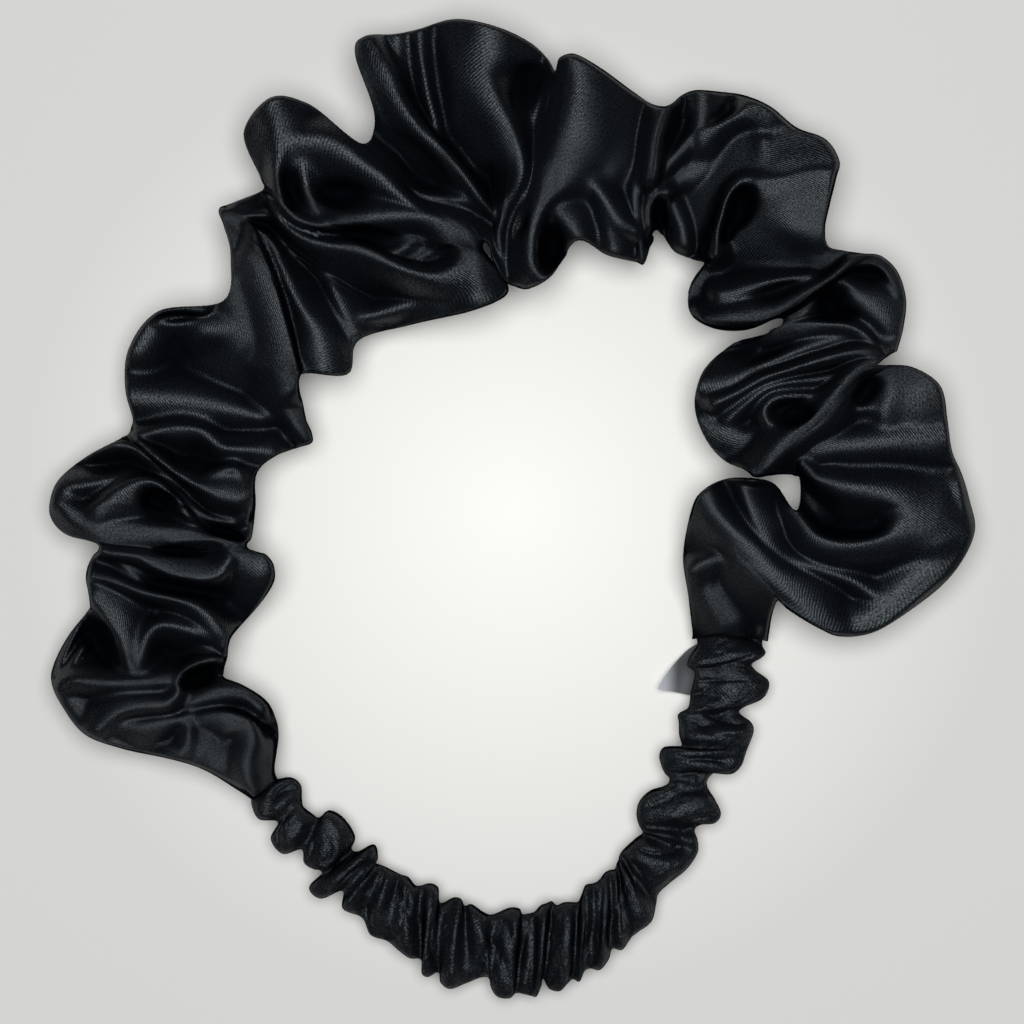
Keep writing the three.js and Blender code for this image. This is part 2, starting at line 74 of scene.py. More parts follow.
LOWER_RIGHT_LOBE = [
    (41.5, 4, 7, 52, -8.5, 16, 66, -25.5, 8),
    (45.5, 6, 7, 55.5, -8.5, 11, 70.5, -27, 6),
    (50.5, 6.5, 8, 60, -9.5, 15, 78, -26, 8),
    (56, 5.5, 8, 64, -9, 11, 87, -20.5, 8),
    (60.5, 0, 10, 71, -6.8, 18, 95, -13, 10),
    (62, 0.8, 7, 73, -2.5, 8, 99, -5, 9),
]

UPPER_RIGHT_LOBE = [
    (62, 6.6, 9, 74, 3.6, 17, 98, 2, 10),
    (61, 7.1, 9, 75, 9, 12, 96.5, 7, 8),
    (60, 7.4, 9, 75.5, 14, 18, 94.5, 12.5, 10),
    (59, 7.5, 9, 75, 18, 15, 93.5, 19, 9),
    (57.5, 7.5, 9, 73.5, 21.3, 16, 92, 26, 9),
    (55.5, 7.3, 9, 70.8, 22, 11, 86.5, 30, 9),
    (52.3, 7, 10, 66.3, 20.3, 20, 79, 30.7, 14),
]

INNER_RIGHT_LOBE = [
    (50, 8.5, 6, 61.5, 21, 8, 79, 31.3, 10),
    (46, 10.5, 6, 58.5, 23, 14, 79.3, 31.7, 12),
    (43, 13.5, 5, 57, 24.8, 11, 79.6, 32, 10.5),
    (40.5, 18, 6, 57.2, 26.8, 15, 80, 32.3, 11.5),
    (39.5, 22, 5, 58, 28.7, 12, 80.4, 32.6, 10.5),
    (40, 26, 6, 58.8, 30.6, 16, 80.8, 32.9, 11),
    (42, 30.5, 5, 60.3, 33, 12, 81.3, 33.2, 10),
    (46.5, 34.5, 6, 62.5, 35.6, 15, 81.8, 33.5, 10),
    (53, 37, 6, 65.5, 38.5, 13, 82.3, 33.9, 9),
]

SHOULDER_LOBES = [
    (57.4, 39.3, 5, 69, 41.2, 6, 82.8, 34.6, 7),
    (58.2, 40, 6, 73, 43.3, 11, 84, 39.5, 9),
    (58.3, 40.5, 7, 74, 46.2, 13, 84.4, 45, 9),
    (58, 41, 7, 73.3, 47.9, 10, 82.8, 50.5, 8),
    (56.6, 40.9, 8, 69.5, 48.4, 13, 79.5, 54, 10),
    (50.5, 38.7, 7, 64, 46.8, 18, 75, 54.9, 12),
    (43.5, 39.1, 6, 60, 48.3, 13, 71.3, 55.6, 9),
    (38.8, 42, 6, 57, 50.8, 17, 68, 56.8, 9),
    (38.3, 47, 6, 55, 55, 17, 67.3, 60.5, 9),
    (41.3, 52, 7, 55.5, 61, 18, 68.3, 65.8, 9),
]

SHOULDER_PANEL = [
    (41.5, 52.7, 6, 50.3, 65.3, 8, 69.5, 71, 9),
    (41.3, 53.1, 7, 46.8, 69, 19, 70, 75, 10),
    (39.8, 53.5, 6, 44, 70.5, 13, 67, 79.5, 8),
    (37.5, 54.3, 6, 42, 72.8, 17, 61, 82, 9),
    (35, 55.5, 6, 39.9, 75, 14, 55.5, 86.3, 8),
    (33.8, 57, 7, 38.3, 76.5, 17, 50, 88.6, 10),
    (32.8, 58.5, 6, 36.7, 77, 13, 45, 89.4, 8),
    (31.8, 59.7, 7, 35, 77.6, 16, 40, 89.8, 9),
    (31, 60, 6, 33.4, 77.3, 11, 36.8, 88.9, 7),
    (30.3, 59.3, 7, 31.6, 77, 17, 34, 86.9, 9),
]

TALL_PANEL = [
    (29.6, 56.5, 5, 29.6, 73, 8, 32, 86.5, 6),
    (28.3, 52.9, 5, 27, 71.5, 14, 29.3, 87.3, 8),
    (26.5, 53.3, 4, 24.3, 72.5, 8, 26, 89.5, 7),
    (20.5, 54.8, 6, 18.5, 74, 14, 20, 94, 9),
    (14, 57.8, 6, 12.5, 74.5, 18, 14.5, 97.3, 11),
    (8.5, 50.3, 4, 8, 72, 15, 12, 97.6, 11),
    (4, 47.7, 6, 5.2, 70.5, 17, 10.2, 96.6, 9),
    (0.6, 48.2, 5, 3.4, 71.5, 8, 9.2, 94, 6),
]

TOP_FAN = [
    (-2.2, 49.6, 6, 2, 76, 12, 7.5, 96.5, 8),
    (-3.6, 52.2, 6, 0.7, 80, 9, 4, 99.9, 8),
    (-4.3, 54.2, 8, -1.7, 82, 18, -3.5, 103.5, 12),
    (-4.6, 55.7, 7, -8, 83, 9, -12.5, 105, 7),
    (-4.9, 56.5, 7, -13, 83.5, 14, -20, 102.9, 10),
    (-5.2, 57, 6, -16, 82.6, 10, -25, 101.9, 7),
    (-5.5, 57.3, 8, -18, 80.6, 19, -31.5, 101.3, 12),
    (-5.8, 57.4, 6, -20, 76.5, 9, -33.5, 97.5, 7),
    (-6, 57.4, 5, -20, 72, 5.5, -29.5, 84, 5),
]

UPPER_LEFT_POUCH = [
    (-6.2, 57.3, 5, -22, 70.5, 11, -31.5, 78.6, 7),
    (-6.4, 57.1, 7, -29, 72.8, 18, -44, 87, 11),
    (-6.5, 56.7, 8, -34.5, 70.5, 9, -52, 88, 9),
    (-6.5, 56.2, 8, -39, 66.5, 11, -57.3, 81, 9),
    (-6.2, 55.4, 8, -36, 62, 19, -54, 71.5, 9),
]

LONG_FLAP = [
    (-4.9, 53.8, 8, -32.5, 59, 7, -53.2, 69, 7),
    (-2.5, 50.6, 8, -31, 55.5, 18, -54.5, 67.8, 9),
    (-1.4, 46.3, 6, -31, 52, 14, -57, 66.8, 7),
    (-8, 43.1, 5, -34, 49.5, 10, -59, 66, 6),
    (-22, 39.7, 5, -38.5, 48.5, 9, -61, 65.2, 6),
    (-33, 36.2, 5, -43, 48, 6, -62.5, 64.6, 6),
    (-35.3, 29.2, 6, -45.7, 46, 13, -62.8, 63.3, 9),
    (-44, 29.3, 4, -49, 45.5, 7, -61.8, 60.5, 8),
]

LEFT_PANEL = [
    (-45.8, 28, 7, -52, 44.5, 18, -60.5, 54, 11),
    (-45.7, 25.5, 7, -57, 39.5, 18, -62, 45, 9),
    (-45, 22.5, 7, -61, 34.5, 17, -76, 42.3, 8),
    (-44.3, 19.3, 7, -62, 29.5, 15, -82, 34.5, 8),
    (-43.3, 16.8, 7, -63, 24, 17, -82.8, 26, 9),
    (-43.3, 14.3, 5, -64, 19, 12, -81.3, 19.5, 7),
    (-46, 13.3, 6, -65, 15.3, 16, -81.6, 17.8, 8),
    (-51, 11.3, 5, -66, 11.8, 11, -82, 16.6, 7),
    (-55, 7.5, 7, -66.8, 8.3, 16, -82.6, 15.8, 9),
    (-55.3, 0.5, 6, -68.6, 5.4, 12, -83.4, 15.4, 7),
]

UPPER_LEFT_FAN = [
    (-56, -5.5, 4, -71.8, 5.6, 8, -84.8, 14.6, 6),
    (-56.8, -7, 5, -75, 5.4, 13, -91, 11.3, 8),
    (-57.1, -7.5, 5, -77.5, 4.2, 9, -97, 6.3, 7),
    (-57.2, -7.9, 6, -78.6, 2, 15, -99, 1.5, 9),
    (-56.9, -8.5, 6, -78, -0.8, 8, -98.6, -2.3, 7),
    (-55.8, -9, 7, -76.5, -4.2, 15, -95.3, -5.6, 8),
    (-54.3, -9.4, 8, -74.5, -7, 16, -91, -6.8, 7),
    (-52.7, -10.2, 6, -72.3, -9.6, 6, -89, -7.7, 5),
    (-51.4, -12.3, 8, -71.3, -12.4, 14, -88.8, -8.8, 8),
    (-51.5, -15.8, 5, -71.5, -15, 7, -90, -10.3, 6),
    (-54, -19.8, 6, -72.5, -17.3, 11, -91, -12.6, 7),
    (-60, -27, 6, -74.3, -19.8, 15, -91.4, -15.3, 8),
    (-61, -29.5, 5, -76, -22.8, 11, -91, -18, 7),
    (-61.2, -31, 7, -78, -26.3, 15, -90.7, -20.6, 9),
    (-61.4, -32.2, 5, -80, -30, 6, -91.4, -22.4, 5),
]

LOWER_LEFT_LOBE = [
    (-61.8, -33.6, 6, -80, -33.3, 9, -95.3, -27.5, 6),
    (-62, -35, 7, -77.5, -35.8, 8, -98, -33, 6),
    (-61.8, -36.4, 9, -75.5, -38, 15, -98.5, -37.5, 8),
    (-58, -38, 7, -74.5, -40.8, 11, -96.2, -42.5, 7),
    (-53, -41.3, 8, -73, -43.3, 15, -91.5, -48.3, 7),
    (-51, -45, 7, -70, -46.3, 11, -84, -51.3, 6),
    (-50.3, -48.5, 6, -65, -48.8, 12, -74, -53.7, 6),
    (-50.8, -53, 5, -58, -53, 10, -66, -56.3, 5.5),
    (-51, -56.5, 5, -54.8, -57.5, 7, -59, -60.4, 5.2),
    (-50.3, -58.6, 5.2, -53.2, -60.4, 5.5, -56.1, -62.3, 5.2),
]

CASING_AT_THE_LEFT = [
    (-52.6, -58.2, -54.9, -59.9, 2),
    (-51.5, -58.6, -55.6, -61.3, 2.2),
    (-48, -58.3, -56.1, -63.3, 3.6),
    (-45.9, -59.8, -54.6, -66.7, 4.6),
    (-45.4, -62.9, -50.5, -67.5, 3.3),
    (-45, -64.3, -51.8, -71, 4.2),
    (-43.3, -65.7, -49.3, -74.1, 4.6),
    (-41.7, -66.6, -45.3, -73.3, 3),
    (-39.5, -65.3, -44.8, -76, 4.6),
    (-36.5, -67, -43, -77.3, 5),
    (-34.1, -71, -41.3, -77.8, 4.3),
    (-34.8, -73.3, -41.2, -78.8, 3),
    (-33.5, -74, -43.4, -81.5, 4.2),
    (-30, -72.7, -41, -83.8, 5.2),
    (-29.1, -75.3, -36.3, -82.4, 3.4),
    (-29.2, -76.8, -36.2, -86, 5.2),
    (-28.2, -77.2, -32.2, -88, 3),
]

CASING_AT_THE_NAPE = [
    (-26.5, -78, -30.5, -91.5, 4.6),
    (-24, -79.3, -27, -93, 3.2),
    (-22.5, -79.8, -24.5, -95, 5),
    (-21, -81.4, -22.3, -96.5, 4.6),
    (-19.8, -81.6, -20, -96.8, 2.8),
    (-17.5, -81.2, -19.5, -99.8, 5.2),
    (-16, -82, -18.3, -100.5, 4.6),
    (-15.3, -85.3, -16, -99.6, 2.8),
    (-12.5, -84.2, -15.3, -101.8, 4.2),
    (-11, -84.5, -13.5, -103, 5.4),
    (-10, -86, -10, -102, 3),
    (-8.5, -85.7, -7, -100.9, 4.6),
    (-6, -87.3, -5.2, -101, 4.8),
    (-4.2, -87.8, -4.4, -103, 3.2),
    (-0.5, -86.3, -2.7, -104.9, 4.8),
    (1.5, -86.5, -0.3, -105, 5.4),
    (2.3, -87.6, 1, -104, 2.8),
    (3.6, -87.5, 2.8, -104.2, 3.6),
    (4.8, -87.2, 4.3, -104.6, 3),
    (6, -85.9, 5.3, -104.6, 4.6),
    (7.3, -85.4, 6.3, -102.5, 5.2),
    (8.5, -85, 7, -101, 2.8),
    (9.5, -85.8, 8.2, -103, 3.8),
    (11, -85.2, 10.5, -103.5, 5),
    (12.5, -85.1, 12, -102, 4.8),
    (14, -85, 13.2, -101, 2.8),
    (14.8, -83.5, 14.7, -101.5, 4.6),
    (15.8, -81.5, 16, -99.3, 4.8),
    (17.3, -81.2, 17.3, -98.8, 3.4),
    (18.5, -80.5, 19.2, -99, 5),
    (19.8, -78.8, 21.2, -96.5, 4.6),
    (20.8, -78.3, 22, -94.5, 3.4),
]

CASING_AT_THE_RIGHT = [
    (21.8, -78.1, 24, -94.7, 4.8),
    (22.3, -77.6, 26, -92, 3.4),
    (22.6, -76.8, 27.5, -90.7, 4.6),
    (23, -76, 30, -88.6, 5),
    (23.4, -75.2, 31, -85, 3),
    (24, -74.2, 31.6, -83, 4),
    (25.5, -72.7, 34, -80.5, 5.2),
    (27, -71.3, 37.5, -77.5, 5.4),
    (28.3, -70.2, 39.8, -74, 3.4),
    (28.2, -69.3, 39.8, -71.8, 4.6),
    (27.8, -68.3, 39.2, -69.5, 3),
    (27.4, -66.8, 40.5, -68.4, 3.8),
    (27.4, -65, 43.5, -67.8, 5),
    (28, -63, 44.7, -66, 5.4),
    (30, -61, 43.5, -63, 5),
    (33.6, -59.3, 42.2, -60.5, 3.2),
    (34, -58, 42, -58.9, 3.4),
    (33.3, -57, 43.5, -57.1, 3),
    (32.5, -55, 47, -57, 4.2),
    (32.2, -53, 49, -55.3, 5.2),
    (33.2, -51.4, 50, -52.5, 4.8),
    (36.6, -51, 50.6, -51, 3.6),
    (36.3, -48.5, 51.7, -48, 5.2),
    (36.3, -46, 51.2, -46.2, 4),
    (36.2, -44.2, 48.9, -44.1, 3),
    (38, -43, 50, -42.8, 3.6),
    (38.6, -41.5, 53.5, -41, 3.6),
]

CASING_OVER_THE_LABEL = [
    (38.8, -39.6, 54.8, -39.3, 3.6),
    (39.2, -37.7, 55, -37.2, 3.7),
    (39.5, -35, 52.3, -34.8, 3),
    (38.3, -34, 51.6, -33.5, 3.4),
    (38.2, -33, 53.5, -32.2, 3.6),
    (39, -31, 54.5, -31, 3.5),
    (40.1, -29.2, 53.9, -29.5, 2.7),
    (40.1, -27.8, 53.9, -28.2, 2.4),
    (41.6, -25.5, 52.4, -25.8, 2.3),
]

LABEL_LINES = [
    (40.4, -29.2, 0.5, 51.5, -29.8, 0.5),
    (38.2, -30.6, 0.8, 50.8, -32.4, 0.5),
    (35.6, -33.2, 1.6, 49.4, -35.6, 0.5),
    (33.4, -36, 2.3, 47.8, -38.8, 0.5),
    (31.6, -39, 2.8, 46.2, -42, 0.5),
]

# The ridges of the ruffle's upper layer, one line for each point of a ridge:
# x, y and height of the ridge, then how softly the cloth falls away on its left and on its right,
# as the distance in which it would fall by RIDGE_FALL.

RIDGES_BY_THE_RIGHT_JOIN = [
    [(42, 4, 13, 3, 5), (44, 0, 15, 3, 5), (47.5, -4.5, 16.5, 3.5, 5), (52, -9, 17.5, 4, 6),
     (56, -13.5, 17.5, 5, 6), (60, -18, 17, 7, 5), (65, -23, 16, 7, 5), (69, -26, 14, 6, 5)],
    [(49.5, 5.5, 13, 4, 2.5), (51, 1, 15, 5, 2.5), (53, -4, 16, 6, 2.5), (56, -8.5, 16, 4, 2),
     (60, -11, 15, 3.5, 3), (66, -12.7, 15, 2.8, 3), (73, -15.2, 14.5, 2.8, 3),
     (78, -18.5, 13.5, 3, 3)],
    [(40, -12, 12, 2.5, 5), (43, -10.8, 14, 2.5, 5), (46.5, -11.6, 13.5, 2.5, 3),
     (49, -13.5, 11.5, 2, 2)],
    [(41, -13, 11, 3.5, 4), (43.5, -18, 11, 4, 5), (46.5, -24, 10, 5, 5)],
    [(53.5, -26.5, 9, 3, 3), (54.5, -22, 10, 3, 3)],
    [(40, 1, 11.5, 3, 4), (39.3, -6, 10.5, 3, 4)],
]

RIDGES_OF_THE_LARGE_LOBE = [
    [(61, -0.3, 12, 1.5, 4), (63, -3, 15, 1.5, 4), (66, -5.6, 17.5, 1.3, 5),
     (70, -6.9, 18.5, 1.3, 5),
     (75, -6.9, 18.5, 1.3, 5), (80, -5.7, 18, 2, 6), (86, -3.5, 17, 9, 8), (92, -5, 15, 9, 8),
     (97, -6, 11, 6, 6)],
    [(62.5, 9.5, 13, 3, 1.5), (65, 7, 15.5, 3, 1.8), (68, 5.6, 17, 4, 2.5), (73, 4.6, 18, 4, 4),
     (79, 3.4, 18, 5, 4), (83.5, 1, 17.5, 7, 3), (86, -2, 17, 8, 4)],
    [(61.5, 12.5, 12, 4, 3), (66, 13, 16, 5, 4), (75, 13.8, 17, 5, 4.5), (83, 14.5, 17, 6, 5),
     (89, 15, 16, 8, 6), (93, 15.5, 15, 8, 6)],
    [(90, 3, 13.5, 8, 8), (92, -1, 14, 8, 8)],
    [(62.3, 6, 8.5, 2, 2), (64.3, 2, 10, 2.4, 2.4), (66.3, -2, 10, 2.4, 2.4),
     (68, -4.5, 8.5, 2, 2)],
    [(95.5, 5, 12.5, 4, 5), (95.5, 0, 14, 7, 7), (94, -6, 15.5, 10, 9), (90, -12, 15.5, 11, 9),
     (85, -17.5, 15, 11, 8),
     (80, -22, 14.5, 10, 7), (75, -24.5, 14, 8, 6)],
    [(68, -23.5, 12.5, 8, 6), (75, -23.5, 12, 8, 6), (81, -20.5, 12, 8, 6)],
    [(73, 22, 13.5, 1.2, 3.5), (78.5, 22.2, 17, 1.2, 3.5), (84, 22, 17, 8, 4), (90, 22, 16, 8, 7)],
    [(79.6, 22.2, 17, 1.2, 8), (81, 25.5, 18, 1.3, 10), (80.7, 28.5, 18, 1.3, 10),
     (78.5, 30.4, 18, 1.5, 5)],
    [(83, 28, 18, 11, 11), (87, 25.5, 17.5, 11, 11)],
]

RIDGES_OF_THE_INNER_RIGHT_LOBE = [
    [(52.3, 7.6, 15, 4, 2.5), (55, 10, 18, 4, 2.5), (58, 13.3, 19.5, 4, 3), (62, 17, 20, 3, 4),
     (66, 20.3, 20.5, 3, 4.5), (69, 23.7, 20.5, 3, 4), (72, 27.2, 20, 3, 3), (75, 29.7, 19.5, 3, 2),
     (78.5, 30.7, 18.5, 3, 2)],
    [(60, 16, 14, 3, 1.2), (57, 17.6, 15.5, 3, 1.2), (55, 20.5, 16.5, 3, 1.2),
     (56.6, 23.2, 17.5, 3, 1.3),
     (61, 24.2, 18, 1.8, 1.3), (66, 24.2, 17, 1.6, 2)],
    [(47, 19.5, 12, 3, 2.5), (51, 23, 15.5, 2.5, 2.2), (55, 26, 17, 2, 2.2),
     (60, 27.3, 17.5, 1.7, 2),
     (66, 28, 17, 1.7, 2), (71, 29.2, 17, 1.5, 1.5)],
    [(44, 23, 12, 2.5, 2.5), (49, 25.3, 14, 2, 2.2), (54, 28, 16, 1.8, 2), (60, 30, 17, 1.8, 2),
     (66, 31.9, 18, 1.8, 2.2), (72, 33.4, 19, 2, 2.5), (76, 33.6, 19, 2.5, 2.5),
     (79, 31.8, 17, 3, 2)],
    [(41, 26, 11, 5, 3), (47, 27, 14, 5, 2.5), (54, 30.8, 14.5, 2.6, 2.2), (60, 33.2, 15, 2.6, 2.2),
     (66, 35.2, 16, 4, 2), (72, 37, 16, 4, 2.5)],
    [(57, 39, 8, 2, 5), (62, 39.7, 13, 2, 5), (67, 40.1, 16.5, 1.2, 4), (72, 39.8, 17.5, 1.2, 4),
     (75.3, 38.2, 17.5, 1.5, 3.5), (77.5, 35.5, 16.5, 2, 3), (79.7, 33, 14, 2, 2)],
    [(40.8, 19.5, 10, 3, 5), (46, 17.2, 13, 3, 6), (51, 15.8, 14, 3, 6), (55.5, 16.3, 15, 3, 5)],
    [(45, 13.5, 12, 8, 8), (51, 10, 12.5, 8, 5)],
]

RIDGES_OF_THE_SHOULDER = [
    [(42, 40.8, 12, 3, 2), (47, 40.9, 15.5, 4, 2), (53, 41.2, 17.5, 4.5, 2),
     (57.5, 42.4, 19, 3.5, 1.2),
     (61, 44.2, 20, 3.5, 1.2), (65, 47.1, 20.5, 2.5, 1.2), (69, 50, 20.5, 1.6, 1.2),
     (73, 53, 19, 2, 1.4),
     (76, 54.6, 14, 2, 2)],
    [(45.5, 41, 16, 4, 4), (48, 45, 16.5, 4, 4)],
    [(60, 41, 13, 4, 3), (63, 42.8, 15.5, 5, 3), (65, 45.5, 16.5, 4, 1.6)],
    [(45, 46, 15, 3, 2), (48, 46.6, 16, 3, 2.5), (52, 48, 17, 2.5, 3), (58, 49.8, 17.5, 1.8, 3),
     (64, 50.3, 18, 1.6, 2.5)],
    [(70, 50.3, 18, 2.5, 1.4), (73.5, 52.2, 18, 3, 1.4), (77.5, 52.8, 16.5, 3, 1.6),
     (80.5, 50.9, 14.5, 2.5, 2), (82.7, 46.5, 12, 2.5, 3)],
    [(71.3, 48.2, 15.5, 2.4, 1.8), (74, 46.2, 17, 4, 3.5), (77.3, 43.2, 17.5, 7, 4),
     (80.2, 39.3, 16, 6, 3), (81.8, 35.5, 12, 3, 2)],
    [(69, 72.5, 18.5, 14, 2.5), (64, 72.2, 19, 14, 3), (58, 70.8, 19.5, 12, 2.5),
     (53.5, 70.4, 19.5, 6, 3)],
    [(67.5, 66, 19, 11, 14), (61.5, 66, 19.8, 8.5, 13)],
    [(66, 60.5, 19, 5.5, 14), (62, 61, 19.3, 5, 13)],
    [(53, 70.3, 19, 1.3, 3), (50.3, 70.5, 19, 1.2, 2.5), (48, 69.1, 19, 1.2, 2),
     (46.2, 66, 18.5, 1.2, 1.8),
     (45.1, 62, 18, 1.2, 1.8), (44.4, 58.5, 17, 1.4, 2), (43.8, 55, 15, 2.5, 2)],
    [(39.3, 46, 11, 4, 3), (41.5, 50, 12, 5, 4)],
    [(53.5, 71.5, 17, 3.5, 3.5), (54.2, 75, 17.5, 4, 4), (54.3, 78.5, 16.5, 3.5, 3.5)],
    [(41, 81.2, 17, 1.6, 6), (45, 83, 18, 1.3, 3.6), (48.5, 85, 18, 1.5, 4),
     (51.5, 86.3, 17.5, 3, 6), (55, 85.7, 16, 5, 6)],
    [(64, 78.5, 12, 5, 5), (58, 81.5, 13, 5, 5), (53, 84, 15.5, 6, 6)],
    [(41, 89, 16, 5, 4), (41.3, 86, 17, 4, 4.5), (40.3, 82, 17, 4, 3), (37.5, 79, 16.5, 4, 1.6),
     (34, 75, 16, 3, 1.5), (31.5, 71.5, 15, 2.5, 1.5)],
    [(34, 70.5, 14, 3.2, 3.4), (38, 72.5, 14, 4, 5), (42, 74, 14, 4, 4.5), (46, 76.5, 13.5, 3, 3)],
    [(29.3, 61, 14, 2.5, 1.5), (29.3, 64.5, 15.5, 2.5, 1.5), (30.8, 67.4, 16.5, 2.5, 1.5),
     (33.2, 68, 16, 3, 2)],
    [(35, 65, 12.5, 3.4, 3), (36.5, 61, 12.5, 3.4, 3), (37, 57.5, 11.5, 3, 3)],
    [(30, 71, 18, 3, 2), (30.6, 74, 19.5, 3.2, 2.2), (31.2, 79, 20, 3.2, 2.2),
     (32.2, 83, 20, 3.2, 2.2), (33.5, 86.5, 19, 3.2, 2.2)],
]

RIDGES_OF_THE_TALL_PANEL = [
    [(13.7, 97, 18, 8, 4), (14.5, 92, 19, 8, 4.5), (14.2, 86, 20, 9, 5), (12.8, 80, 20.5, 9, 5),
     (11, 75, 21, 8, 5),
     (9, 70.5, 20.5, 6, 5), (6.8, 66, 20, 3, 4), (5.2, 61.5, 19.5, 2, 4), (4.6, 57, 19, 1.8, 4),
     (5.3, 53, 18, 1.8, 5),
     (7.5, 50.3, 15, 2, 5)],
    [(17, 92, 14, 9, 9), (18, 84, 17, 9, 9), (18, 76, 18, 9, 9), (17, 70, 17, 6, 6)],
    [(15, 73, 18, 5, 4), (18.3, 68.8, 18.5, 4, 3), (20.5, 65.3, 18, 4, 3), (23, 62, 17, 4, 4),
     (26, 60.3, 14, 3, 3)],
    [(18.6, 66, 17.5, 5, 2.2), (20.4, 60.8, 16.5, 5, 2.2), (21.4, 56.5, 13, 5, 3)],
    [(24, 57, 11, 4, 4), (26, 55, 9, 3, 3)],
    [(19, 93, 12, 7, 6), (24, 88, 13, 6, 6), (29, 85, 11, 4, 6)],
    [(29.8, 79.4, 14, 1.8, 1.8), (28.4, 76, 16, 2.4, 2.8), (27.3, 71, 16.5, 2.2, 3.2),
     (26.8, 66, 16, 2, 3),
     (27.3, 61, 14.5, 1.5, 2), (27.6, 57, 12, 1.5, 1.5), (27.9, 54, 9, 2, 2)],
    [(9, 65.6, 18, 4.5, 3.4), (10.6, 63.6, 18.3, 6, 3.4), (12.2, 61.4, 18, 6, 3.4),
     (13.5, 59.3, 17, 5, 3)],
    [(4.3, 69.2, 17, 1.5, 1.3), (2, 67.5, 17.5, 1.8, 1.3), (-0.3, 65.6, 17.5, 2, 1.3),
     (-2.2, 62.8, 17, 2.5, 1.3),
     (-3.1, 59.5, 16, 2.5, 1.3), (-2.8, 56.5, 15, 2.5, 1.3), (-1.8, 54, 13, 2, 1.5)],
    [(3, 55.5, 14, 2, 3), (2.5, 51.5, 14, 5, 5), (5, 48.7, 11, 4, 5)],
    [(8.8, 90.3, 13, 1.3, 1.5), (6, 88, 14.5, 2, 2), (4.4, 84, 14.5, 2, 1.6),
     (4, 79.5, 14, 1.6, 1.5), (4.7, 75.5, 12, 1, 1)],
]

RIDGES_OF_THE_TOP_FAN = [
    [(-5.2, 103, 18, 8, 7), (-5.2, 98, 18.5, 7, 8), (-5.3, 93.5, 19, 4.5, 8),
     (-3.6, 88.5, 20, 3.5, 7),
     (-1.2, 83.5, 20.5, 3, 6), (0.8, 79, 20.5, 2.5, 6), (1.9, 75, 20, 2.2, 5), (2, 71.5, 19, 2, 4),
     (0.5, 68, 16.5, 1.6, 3), (-2, 65, 13, 2, 2)],
    [(-13, 104, 16, 5, 3.5), (-12.2, 98, 15.5, 5, 3), (-11.2, 91, 14, 4, 3), (-10, 85, 12, 4, 3)],
    [(-19.8, 103, 15, 3, 2.4), (-19.3, 97, 16, 3, 2.2), (-18.1, 90, 16.5, 3, 2.2),
     (-16.9, 85, 16, 2.6, 1.8), (-16.2, 82, 15, 1.8, 1.6)],
    [(-24.7, 101.5, 15, 4, 4), (-23.8, 95, 14.5, 2.5, 2.5), (-22, 90, 13, 1.5, 1.7)],
    [(-31, 101.3, 12.5, 3, 4), (-28.2, 97, 16.5, 2.5, 6), (-26, 93, 18, 2.5, 6),
     (-23.5, 88, 19, 1.8, 5),
     (-20, 83, 19.5, 1.5, 4.5), (-16, 78.5, 19.5, 1.4, 4), (-12.3, 74.5, 19, 1.4, 3.5),
     (-9, 70.3, 18, 1.4, 3),
     (-6.5, 66.7, 16, 1.4, 2.5), (-4, 63.5, 12, 1.4, 1.5)],
    [(-31.5, 97, 12, 4, 4), (-29.5, 91, 12.5, 4, 4)],
    [(-21.8, 69.1, 15, 1.2, 1.3), (-19.3, 67.5, 16, 1.6, 1.2), (-16, 66.8, 16.5, 2, 1.3),
     (-12, 66.6, 17, 2.5, 1.6),
     (-9, 66.2, 17, 3, 2), (-7, 65, 15, 2, 2)],
]

